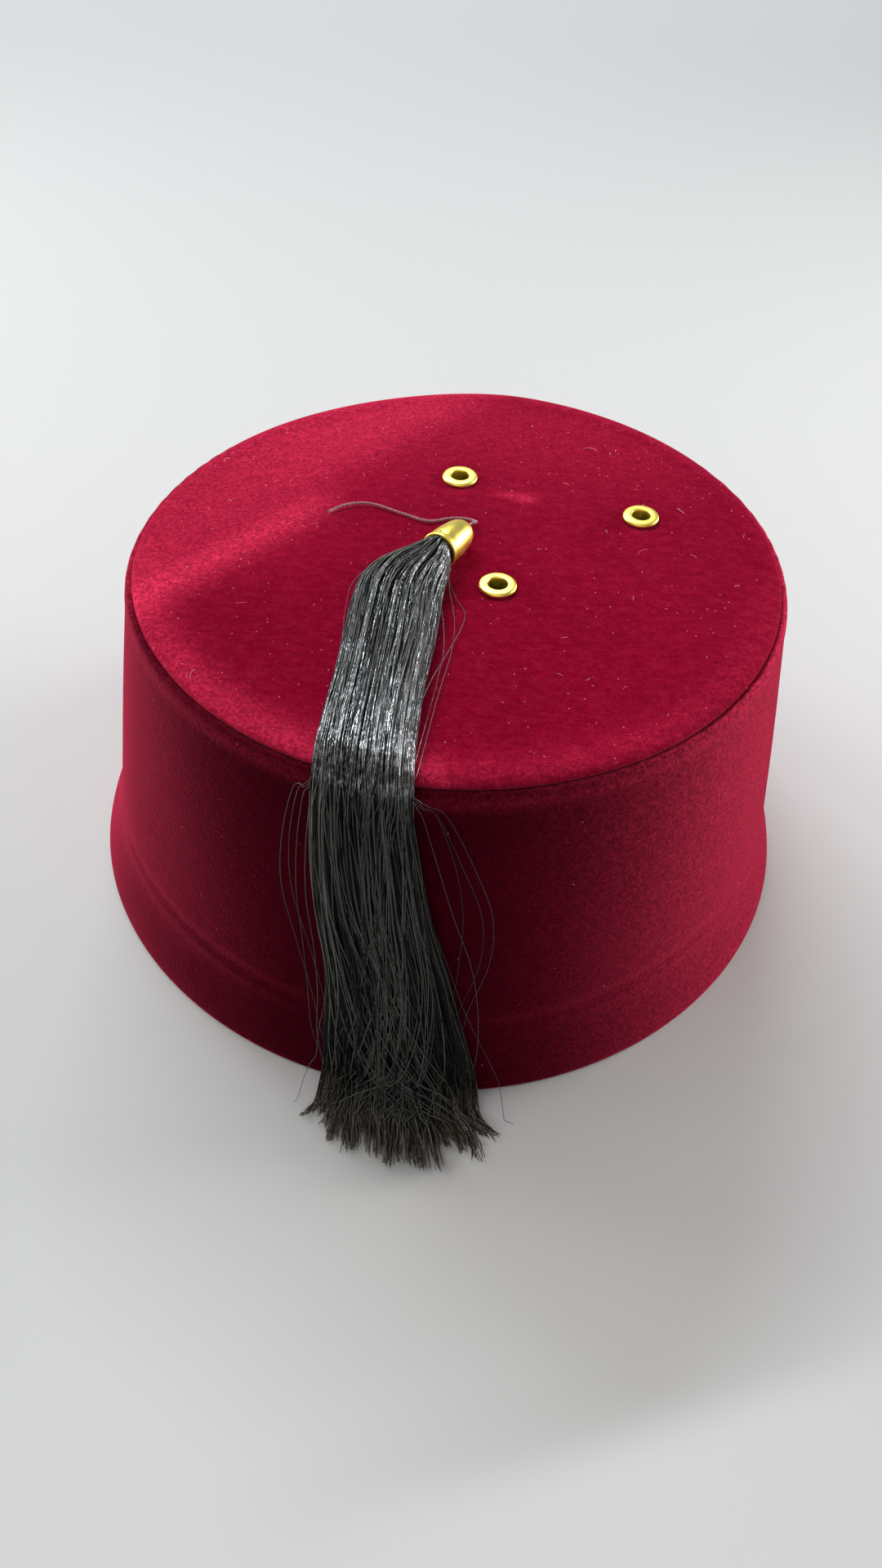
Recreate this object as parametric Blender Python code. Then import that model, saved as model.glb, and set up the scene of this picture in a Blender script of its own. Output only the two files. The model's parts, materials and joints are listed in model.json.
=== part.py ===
"""Fez of crimson velvet: a tapered wall, a flat top let into its rolled edge, three gold eyelets,
and a black fringe tassel in a gold bell cap that lies on the top and hangs over the front.

The hat stands on its rim. Its axis is a little behind the origin, which is the middle of the
bounding box at floor level. The front, over which the fringe hangs, looks along -Y.
"""

import math

import bmesh
import bpy
from mathutils import Matrix, Vector

# Driving dimensions, in metres
GAP = 0.0003

# Crown
HAT_HEIGHT = 0.0963
RIM_RADIUS = 0.095
FRONT_FLARE = 0.0010
SIDE_FLARE = 0.0032
FLARE_HEIGHT = 0.022
ROLL_WIDTH = 0.0022
SHOULDER_DROP = 0.006
CREST_DROP = 0.0018
WALL = 0.0024
LEDGE_WIDTH = 0.0030

# Top panel
PANEL_RADIUS = 0.0798
PANEL_THICKNESS = 0.0022
PANEL_EDGE = 0.0016

# The wall's rolled edge stands round the panel, so its radius follows from the panel's
SEAM_RADIUS = PANEL_RADIUS + GAP
SHOULDER_RADIUS = SEAM_RADIUS + ROLL_WIDTH

# How the soft crown has settled out of true
LEAN = 0.0016
TOP_TILT = math.radians(1.6)
DENT_DEPTH = 0.0024
DENT_START = 0.038
DENT_DIRECTION = math.radians(138)
SETTLING_BAND = 0.030

# Eyelets
EYELET_HOLE = 0.00235
EYELET_BARREL = 0.0027
EYELET_FLANGE = 0.00465
EYELET_RISE = 0.0008
EYELET_BACK_FLANGE = 0.0039
EYELET_BACK_RISE = 0.0006
EYELET_PLACES = {
    "eyelet_back": (-0.0003, 0.0335),
    "eyelet_right": (0.0469, 0.0189),
    "eyelet_front": (0.0099, -0.0129),
}

# Bell cap of the tassel
CAP_LENGTH = 0.0130
CAP_MOUTH = 0.0047
CAP_SHELL = 0.0008
CAP_CORD_HOLE = 0.0007
CAP_PLACE = (-0.0048, -0.0064)
CAP_TURN = math.radians(60.8)
CAP_DIP = math.radians(4.5)

# Cord
CORD_DIAMETER = 0.0008

# Fringe
FRINGE_HALF_WIDTH = 0.0105
FRINGE_FOOT_HALF_WIDTH = 0.0210
FRINGE_TIP_HALF_WIDTH = 0.0245
FRINGE_THICKNESS = 0.0056
FRINGE_HEAD_DEPTH = 0.0060
FRINGE_EDGE_X = -0.0178
FRINGE_FOOT_X = -0.0072
FRINGE_TIP_X = -0.0055
FRINGE_REACH = 0.1170
FRINGE_LAY = 0.0105
EDGE_CLEARANCE = 0.0009
FOOT_BEND = 0.0100

# How finely round shapes are faceted
CROWN_SEGMENTS = 72
METAL_SEGMENTS = 24

# The outer wall's heights, as shares of the flare's height and then of the straight stretch above it
FLARE_STEPS = (0.0, 0.33, 0.66, 1.0)
WALL_STEPS = (0.33, 0.66)

# The panel's rings, as shares of its radius
PANEL_RINGS = (0.30, 0.52, 0.68, 0.82, 0.92)
PANEL_BACK_RINGS = (0.92, 0.68, 0.30)

# The cap's outer line from mouth to cord hole: share of its length, share of its mouth radius
CAP_LINE = (
    (0.00, 0.96),
    (0.03, 1.00),
    (0.08, 0.99),
    (0.12, 0.925),
    (0.22, 0.955),
    (0.40, 0.93),
    (0.60, 0.87),
    (0.76, 0.79),
    (0.88, 0.66),
    (0.96, 0.47),
    (1.00, 0.26),
)

# The fringe's course over the top, from the cap to the edge
# run: share of the way forward, aside: share of the way sideways, width and thickness: shares
# slant: how far the section is turned, lift: height under it as a share of the mouth radius
OVER_TOP = (
    # run, aside, width, thickness, slant, lift, locks
    (0.035, 0.16, 0.50, 1.12, -0.58, 0.16, 0.10),
    (0.075, 0.36, 0.70, 1.08, -0.50, 0.08, 0.16),
    (0.125, 0.54, 0.86, 1.02, -0.38, 0.06, 0.20),
    (0.200, 0.66, 0.97, 1.00, -0.24, 0.06, 0.22),
    (0.310, 0.72, 1.00, 0.98, -0.11, 0.06, 0.24),
    (0.460, 0.78, 1.00, 0.95, 0.00, 0.06, 0.24),
    (0.650, 0.87, 0.96, 0.95, 0.00, 0.06, 0.24),
    (0.840, 0.95, 0.98, 0.98, 0.00, 0.06, 0.24),
)

# Down the wall: height as a share of the shoulder's, then shares of the way to the foot's place and width
DOWN_WALL = (
    # height, aside, width, thickness, clear, locks
    (0.84, 0.10, 0.18, 0.94, 0.0008, 0.26),
    (0.67, 0.28, 0.28, 0.90, 0.0006, 0.28),
    (0.50, 0.57, 0.38, 0.86, 0.0004, 0.30),
    (0.34, 0.76, 0.52, 0.84, 0.0004, 0.32),
    (0.20, 0.88, 0.72, 0.80, 0.0005, 0.34),
)

# Locks of the fringe, from left to right: the edges between them and how far each tip reaches
LOCK_EDGES = (0.0, 0.09, 0.20, 0.32, 0.44, 0.55, 0.67, 0.79, 0.91, 1.0)
LOCK_REACHES = (0.24, 0.58, 0.80, 1.0, 0.88, 0.97, 0.78, 0.66, 0.32)
LOCK_CREST_STEPS = (0.22, 0.5, 0.78)

# The cord's route on the top panel: x, y and height of its middle above the panel
CORD_ROUTE = (
    (0.00166, 0.00519, 0.00398),
    (0.00290, 0.00742, 0.00372),
    (0.00392, 0.00930, 0.00290),
    (0.00425, 0.01110, 0.00185),
    (0.00345, 0.01275, 0.00110),
    (0.00170, 0.01375, 0.00076),
    (-0.00060, 0.01400, 0.00072),
    (-0.00310, 0.01345, 0.00072),
    (-0.00550, 0.01255, 0.00072),
    (-0.00780, 0.01210, 0.00072),
    (-0.01040, 0.01280, 0.00072),
    (-0.01310, 0.01420, 0.00072),
    (-0.01590, 0.01550, 0.00072),
    (-0.01880, 0.01700, 0.00072),
    (-0.02180, 0.01830, 0.00072),
    (-0.02460, 0.01880, 0.00072),
    (-0.02740, 0.01840, 0.00072),
    (-0.03010, 0.01730, 0.00072),
    (-0.03200, 0.01580, 0.00072),
    (-0.03360, 0.01410, 0.00072),
)

TOP_PLACE = Matrix.Translation((LEAN, 0, HAT_HEIGHT)) @ Matrix.Rotation(-TOP_TILT, 4, "X")


def mix(first, second, share):
    return first + (second - first) * share


def smooth(share):
    share = min(1.0, max(0.0, share))
    return share * share * (3 - 2 * share)


def settled(x, y, z):
    """Where a point of the true upright crown lies on the soft one, which leans, slopes and is dented."""
    towards = x * math.cos(DENT_DIRECTION) + y * math.sin(DENT_DIRECTION)
    sunk = DENT_DEPTH * smooth((towards - DENT_START) / (PANEL_RADIUS - DENT_START))
    near_top = smooth((z - HAT_HEIGHT + SETTLING_BAND + SHOULDER_DROP) / SETTLING_BAND)
    height = z / HAT_HEIGHT
    return Vector((x + LEAN * height, y, z - math.tan(TOP_TILT) * y * height - sunk * near_top))


def wall_radius(height, angle):
    """Outer radius of the wall under its shoulder. The foot flares, most at the two sides."""
    cone = mix(RIM_RADIUS, SHOULDER_RADIUS, height / (HAT_HEIGHT - SHOULDER_DROP))
    flare = mix(FRONT_FLARE, SIDE_FLARE, math.cos(angle) ** 4)
    return cone + flare * smooth(1 - height / FLARE_HEIGHT)


def clear_scene():
    for old in list(bpy.data.objects):
        bpy.data.objects.remove(old)


def make_material(name, colour, roughness, metallic=0.0, sheen=0.0):
    material = bpy.data.materials.new(name)
    material.use_nodes = True
    shader = material.node_tree.nodes["Principled BSDF"]
    shader.inputs["Base Color"].default_value = (*colour, 1.0)
    shader.inputs["Roughness"].default_value = roughness
    shader.inputs["Metallic"].default_value = metallic
    shader.inputs["Sheen Weight"].default_value = sheen
    return material


def add_empty(name, matrix, parent=None):
    empty = bpy.data.objects.new(name, None)
    bpy.context.scene.collection.objects.link(empty)
    empty.parent = parent
    empty.matrix_local = matrix
    return empty


def add_object(name, data, material, parent):
    piece = bpy.data.objects.new(name, data)
    bpy.context.scene.collection.objects.link(piece)
    if material:
        data.materials.append(material)
    piece.parent = parent
    return piece


def add_mesh(name, shape, material, parent, sharp_degrees=40):
    bmesh.ops.recalc_face_normals(shape, faces=shape.faces)
    mesh = bpy.data.meshes.new(name)
    shape.to_mesh(mesh)
    shape.free()
    mesh.shade_smooth()
    mesh.set_sharp_from_angle(angle=math.radians(sharp_degrees))
    return add_object(name, mesh, material, parent)


def join_rings(shape, first, second):
    for i, start in enumerate(first):
        j = (i + 1) % len(first)
        shape.faces.new((start, first[j], second[j], second[i]))


def turn_closed(shape, loop_at, segments, place):
    """A closed profile carried round the axis. loop_at gives its (radius, height) points at an angle."""
    rings = []
    for step in range(segments):
        angle = math.tau * step / segments
        ring = [place(r * math.cos(angle), r * math.sin(angle), z) for r, z in loop_at(angle)]
        rings.append([shape.verts.new(point) for point in ring])
    for step, ring in enumerate(rings):
        join_rings(shape, ring, rings[(step + 1) % segments])


def wall_loop(angle):
    """The wall's section: up the outside, over the rolled crest, along the ledge and down the inside."""
    shoulder_height = HAT_HEIGHT - SHOULDER_DROP
    ledge_height = HAT_HEIGHT - PANEL_THICKNESS - GAP
    crest_radius = (SEAM_RADIUS + SHOULDER_RADIUS) / 2
    crest_height = HAT_HEIGHT - CREST_DROP
    heights = [FLARE_HEIGHT * step for step in FLARE_STEPS]
    heights += [mix(FLARE_HEIGHT, shoulder_height, step) for step in WALL_STEPS]
    outside = [(wall_radius(height, angle), height) for height in heights]
    roll = []
    for degrees in (0, 30, 60, 90):
        out, up = math.cos(math.radians(degrees)), math.sin(math.radians(degrees))
        radius = mix(crest_radius, SHOULDER_RADIUS, out)
        roll.append((radius, mix(shoulder_height, crest_height, up)))
    ledge = [
        (SEAM_RADIUS, mix(ledge_height, crest_height, 0.5)),
        (SEAM_RADIUS, ledge_height),
        (SEAM_RADIUS - LEDGE_WIDTH, ledge_height),
        (SEAM_RADIUS - LEDGE_WIDTH, ledge_height - WALL),
        (SHOULDER_RADIUS - WALL, shoulder_height - WALL),
    ]
    inside = [(wall_radius(height, angle) - WALL, height) for height in reversed(heights[:-1])]
    return outside + roll + ledge + inside


def make_wall(material, hat):
    shape = bmesh.new()
    turn_closed(shape, wall_loop, CROWN_SEGMENTS, settled)
    return add_mesh("side_wall", shape, material, hat)


def make_panel(material, hat):
    """A thick disc with a rounded rim, sunk by the crown's dent."""
    shape = bmesh.new()
    top, back = HAT_HEIGHT, HAT_HEIGHT - PANEL_THICKNESS
    line = [(PANEL_RADIUS * share, top) for share in PANEL_RINGS]
    for degrees in (90, 45, 0):
        out, up = math.cos(math.radians(degrees)), math.sin(math.radians(degrees))
        line.append((PANEL_RADIUS - PANEL_EDGE * (1 - out), top - PANEL_EDGE * (1 - up)))
    line.append((PANEL_RADIUS, back))
    line += [(PANEL_RADIUS * share, back) for share in PANEL_BACK_RINGS]
    rings = []
    for radius, height in line:
        ring = []
        for step in range(CROWN_SEGMENTS):
            angle = math.tau * step / CROWN_SEGMENTS
            place = settled(radius * math.cos(angle), radius * math.sin(angle), height)
            ring.append(shape.verts.new(place))
        rings.append(ring)
    for first, second in zip(rings, rings[1:]):
        join_rings(shape, first, second)
    for ring, height in ((rings[0], top), (rings[-1], back)):
        middle = shape.verts.new(settled(0, 0, height))
        for i, start in enumerate(ring):
            shape.faces.new((start, ring[(i + 1) % len(ring)], middle))
    return add_mesh("top_panel", shape, material, hat)


def cut_eyelet_hole(panel, name, x, y, top_face):
    shape = bmesh.new()
    bmesh.ops.create_cone(
        shape,
        cap_ends=True,
        segments=METAL_SEGMENTS,
        radius1=EYELET_BARREL + GAP,
        radius2=EYELET_BARREL + GAP,
        depth=4 * PANEL_THICKNESS,
    )
    cutter = add_mesh(name + "_cutter", shape, None, top_face)
    cutter.location = (x, y, -PANEL_THICKNESS / 2)
    cutter.hide_render = True
    cutter.display_type = "WIRE"
    hole = panel.modifiers.new(name + "_hole", "BOOLEAN")
    hole.operation = "DIFFERENCE"
    hole.solver = "EXACT"
    hole.object = cutter


def eyelet_loop(angle):
    """A washer with a domed face, its barrel through the panel, and the rolled end behind."""
    behind = -PANEL_THICKNESS - GAP
    return (
        (EYELET_HOLE, GAP + EYELET_RISE * 0.55),
        (mix(EYELET_HOLE, EYELET_FLANGE, 0.20), GAP + EYELET_RISE),
        (mix(EYELET_HOLE, EYELET_FLANGE, 0.55), GAP + EYELET_RISE * 0.92),
        (mix(EYELET_HOLE, EYELET_FLANGE, 0.86), GAP + EYELET_RISE * 0.50),
        (EYELET_FLANGE, GAP),
        (EYELET_BARREL, GAP),
        (EYELET_BARREL, behind),
        (EYELET_BACK_FLANGE, behind),
        (EYELET_BACK_FLANGE, behind - EYELET_BACK_RISE * 0.6),
        (mix(EYELET_HOLE, EYELET_BACK_FLANGE, 0.4), behind - EYELET_BACK_RISE),
        (EYELET_HOLE, behind - EYELET_BACK_RISE * 0.6),
    )


def make_eyelet(name, x, y, material, top_face):
    shape = bmesh.new()
    turn_closed(shape, eyelet_loop, METAL_SEGMENTS, lambda px, py, pz: Vector((px, py, pz)))
    eyelet = add_mesh(name, shape, material, top_face)
    eyelet.location = (x, y, 0)
    return eyelet


def cap_direction():
    """Unit vector from the cap's mouth to its closed end, in the top face's own axes."""
    level = math.cos(CAP_DIP)
    return Vector((math.cos(CAP_TURN) * level, math.sin(CAP_TURN) * level, -math.sin(CAP_DIP)))


def cap_loop(angle):
    """The bell's shell: its outer line from mouth to cord hole, and back along the inside."""
    outside = [(CAP_MOUTH * radius, CAP_LENGTH * along) for along, radius in CAP_LINE]
    outside.append((CAP_CORD_HOLE, CAP_LENGTH))
    inside = [
        (CAP_CORD_HOLE, CAP_LENGTH - CAP_SHELL),
        (CAP_MOUTH * 0.66 - CAP_SHELL, CAP_LENGTH * 0.88 - CAP_SHELL / 2),
        (CAP_MOUTH * 0.925 - CAP_SHELL, CAP_LENGTH * 0.40),
        (CAP_MOUTH * 0.925 - CAP_SHELL * 0.6, 0.0),
    ]
    return outside + inside


def make_cap(material, top_face):
    shape = bmesh.new()
    turn_closed(shape, cap_loop, METAL_SEGMENTS, lambda px, py, pz: Vector((px, py, pz)))
    cap = add_mesh("tassel_cap", shape, material, top_face)
    cap.location = (*CAP_PLACE, CAP_MOUTH + GAP)
    cap.rotation_mode = "QUATERNION"
    cap.rotation_quaternion = cap_direction().to_track_quat("Z", "Y")
    return cap


def smooth_route(points, spacing):
    """Points at about that spacing on a smooth curve through the route's own points."""
    route = [Vector(point) for point in points]
    ends = [2 * route[0] - route[1], *route, 2 * route[-1] - route[-2]]
    found = []
    for before, start, end, after in zip(ends, ends[1:], ends[2:], ends[3:]):
        steps = max(1, round((end - start).length / spacing))
        for step in range(steps):
            t = step / steps
            point = 2 * start + (end - before) * t
            point += (2 * before - 5 * start + 4 * end - after) * t * t
            point += (3 * start - before - 3 * end + after) * t**3
            found.append(point / 2)
    return [*found, route[-1]]


def make_cord(material, top_face):
    points = smooth_route(CORD_ROUTE, 2.5 * CORD_DIAMETER)
    curve = bpy.data.curves.new("tassel_cord", "CURVE")
    curve.dimensions = "3D"
    curve.bevel_depth = CORD_DIAMETER / 2
    curve.bevel_resolution = 2
    curve.use_fill_caps = True
    line = curve.splines.new("POLY")
    line.points.add(len(points) - 1)
    for target, point in zip(line.points, points):
        target.co = (*point, 1.0)
    return add_object("tassel_cord", curve, material, top_face)


def lock_section(roundness, locks):
    """The fringe's outline as (across, up) pairs: locks side by side above, a smooth underside.

    across runs from -1 to 1 and up from 0 to 1. A low roundness is a circle, a high one a slab.
    """

    def half_height(across):
        return (1 - abs(across) ** roundness) ** (1 / roundness) / 2

    edges = [2 * share - 1 for share in LOCK_EDGES]
    section = [(-1.0, 0.5)]
    for left, right in zip(edges, edges[1:]):
        for step in LOCK_CREST_STEPS:
            across = mix(left, right, step)
            fall = locks * (2 * step - 1) ** 2
            section.append((across, 0.5 + half_height(across) * (1 - fall)))
        if right < 1:
            section.append((right, 0.5 + half_height(right) * (1 - 2 * locks)))
    section.append((1.0, 0.5))
    section += [(across, 0.5 - half_height(across)) for across in reversed(edges[1:-1])]
    return section


def head_rings():
    """Round sections of the bundle inside the cap, from its bound end to the mouth."""
    inwards = cap_direction()
    across = Vector((inwards.y, -inwards.x, 0)).normalized()
    up = across.cross(inwards)
    mouth = Vector((*CAP_PLACE, CAP_MOUTH + GAP))
    radius = CAP_MOUTH * 0.925 - CAP_SHELL - GAP
    rings = []
    for depth, share in ((1.0, 0.80), (0.5, 0.94), (0.0, 1.0)):
        middle = mouth + inwards * FRINGE_HEAD_DEPTH * depth
        ring = []
        for side, height in lock_section(2.0, 0.03):
            offset = across * side + up * (2 * height - 1)
            ring.append(TOP_PLACE @ (middle + offset * radius * share))
        rings.append(ring)
    return rings


def edge_start():
    """Where the fringe begins to bend over the edge, as a distance in front of the axis."""
    return PANEL_RADIUS - PANEL_EDGE / 2


def over_top_rings():
    rings = []
    for run, aside, width, thickness, slant, lift, locks in OVER_TOP:
        middle = mix(CAP_PLACE[0], FRINGE_EDGE_X, aside)
        forward = mix(-CAP_PLACE[1], edge_start(), run)
        ring = []
        for side, height in lock_section(2.4, locks):
            shift = side * width * FRINGE_HALF_WIDTH
            x = middle + shift
            y = -math.sqrt(forward**2 - (run * x) ** 2) + slant * shift
            above = GAP + lift * CAP_MOUTH * 0.5 + height * thickness * FRINGE_THICKNESS
            ring.append(TOP_PLACE @ Vector((x, y, above)))
        rings.append(ring)
    return rings


def hanging_ring(distance, height, normal, middle, half_width, thickness, locks):
    """A section that follows the round wall. normal points off the wall, as (outwards, up)."""
    ring = []
    for side, up in lock_section(2.6, locks):
        x = middle + side * half_width
        out = distance + normal[0] * up * thickness
        ring.append(settled(x, -math.sqrt(out**2 - x**2), height + normal[1] * up * thickness))
    return ring


def over_edge_rings():
    """A quarter of an ellipse round the panel's rim and the wall's rolled edge."""
    rings = []
    drop = SHOULDER_DROP + EDGE_CLEARANCE
    span = SHOULDER_RADIUS + EDGE_CLEARANCE - edge_start()
    for degrees in (5, 26, 46, 66, 88):
        out, up = math.sin(math.radians(degrees)), math.cos(math.radians(degrees))
        rise = drop + GAP
        steep = math.hypot(rise * out, span * up)
        normal = (rise * out / steep, span * up / steep)
        distance = edge_start() + span * out
        height = HAT_HEIGHT - drop + rise * up
        width = FRINGE_HALF_WIDTH * mix(1.0, 1.06, degrees / 90)
        rings.append(
            hanging_ring(distance, height, normal, FRINGE_EDGE_X, width, FRINGE_THICKNESS, 0.24)
        )
    return rings


def down_wall_rings():
    rings = []
    slope = (RIM_RADIUS - SHOULDER_RADIUS) / (HAT_HEIGHT - SHOULDER_DROP)
    normal = (math.cos(math.atan(slope)), math.sin(math.atan(slope)))
    for share, aside, width, thickness, clear, locks in DOWN_WALL:
        height = share * (HAT_HEIGHT - SHOULDER_DROP)
        distance = wall_radius(height, -math.pi / 2) + GAP + clear
        middle = mix(FRINGE_EDGE_X, FRINGE_FOOT_X, aside)
        half_width = mix(FRINGE_HALF_WIDTH, FRINGE_FOOT_HALF_WIDTH, width)
        deep = thickness * FRINGE_THICKNESS
        rings.append(hanging_ring(distance, height, normal, middle, half_width, deep, locks))
    return rings


def foot_rings():
    """The bend from the wall on to the floor, and the stretch that lies in front of the rim."""
    start = wall_radius(FOOT_BEND, -math.pi / 2) + 3 * GAP
    rings = []
    for degrees in (4, 30, 55, 78, 90):
        turn = math.radians(degrees)
        distance = start + FOOT_BEND * (1 - math.cos(turn))
        height = FOOT_BEND * (1 - math.sin(turn))
        normal = (math.cos(turn), math.sin(turn))
        share = degrees / 90
        half_width = FRINGE_FOOT_HALF_WIDTH * mix(0.90, 1.0, share)
        deep = FRINGE_THICKNESS * mix(0.78, 0.56, share)
        rings.append(hanging_ring(distance, height, normal, FRINGE_FOOT_X, half_width, deep, 0.36))
    last = FRINGE_REACH - FRINGE_LAY
    middle = mix(FRINGE_FOOT_X, FRINGE_TIP_X, 0.4)
    half_width = mix(FRINGE_FOOT_HALF_WIDTH, FRINGE_TIP_HALF_WIDTH, 0.35)
    deep = FRINGE_THICKNESS * 0.5
    rings.append(hanging_ring(last, 0.0, (0.0, 1.0), middle, half_width, deep, 0.40))
    return rings


def lock_tip(shape, base, lock):
    """One lock's end, drawn out from its share of the last section to a blunt point on the floor."""
    share = (LOCK_EDGES[lock] + LOCK_EDGES[lock + 1]) / 2
    end_x = FRINGE_TIP_X + (2 * share - 1) * FRINGE_TIP_HALF_WIDTH
    reach = mix(FRINGE_REACH - FRINGE_LAY, FRINGE_REACH, LOCK_REACHES[lock])
    end = Vector((end_x, -math.sqrt(reach**2 - end_x**2), 0))
    start = sum((vert.co for vert in base), Vector()) / len(base)
    start.z = 0
    ring = base
    for along, size in ((0.4, 0.80), (0.75, 0.58), (1.0, 0.24)):
        middle = start.lerp(end, along)
        above = [shape.verts.new(middle + (vert.co - start) * size) for vert in base]
        join_rings(shape, ring, above)
        ring = above
    shape.faces.new(ring)


def make_fringe(material, hat):
    """One skin through all the sections. Past the last, each lock goes on by itself."""
    shape = bmesh.new()
    places = head_rings() + over_top_rings() + over_edge_rings() + down_wall_rings() + foot_rings()
    rings = [[shape.verts.new(point) for point in ring] for ring in places]
    for first, second in zip(rings, rings[1:]):
        join_rings(shape, first, second)
    shape.faces.new(rings[0])
    last = rings[-1]
    locks = len(LOCK_EDGES) - 1
    upper = len(LOCK_CREST_STEPS) + 1
    right_side = locks * upper
    for lock in range(locks):
        over = last[lock * upper : (lock + 1) * upper + 1]
        right = right_side + locks - 1 - lock
        under = last[max(right, right_side + 1) : right + 2]
        lock_tip(shape, over + under, lock)
    return add_mesh("tassel_fringe", shape, material, hat, sharp_degrees=70)


def main():
    clear_scene()
    velvet = make_material("velvet", (0.270, 0.004, 0.028), 0.85, sheen=0.6)
    gold = make_material("gold", (0.80, 0.60, 0.12), 0.18, metallic=1.0)
    yarn = make_material("black_yarn", (0.012, 0.012, 0.015), 0.38)
    maroon = make_material("maroon_cord", (0.110, 0.016, 0.030), 0.75)
    axis_back = (FRINGE_REACH - RIM_RADIUS - FRONT_FLARE) / 2
    hat = add_empty("hat_axis", Matrix.Translation((0, axis_back, 0)))
    top_face = add_empty("top_face", TOP_PLACE, hat)
    make_wall(velvet, hat)
    panel = make_panel(velvet, hat)
    for name, (x, y) in EYELET_PLACES.items():
        cut_eyelet_hole(panel, name, x, y, top_face)
        make_eyelet(name, x, y, gold, top_face)
    make_cap(gold, top_face)
    make_cord(maroon, top_face)
    make_fringe(yarn, hat)


main()
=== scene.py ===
"""Looks of a velvet fez: pile velvet on the crown, gold eyelets and cap, and a fringe of loose strands.

Laid out as an add-on and run as a script. Each operator builds one piece or a group of like pieces
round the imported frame, in metres, with +Z up and the front of the hat towards -Y.
"""

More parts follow.
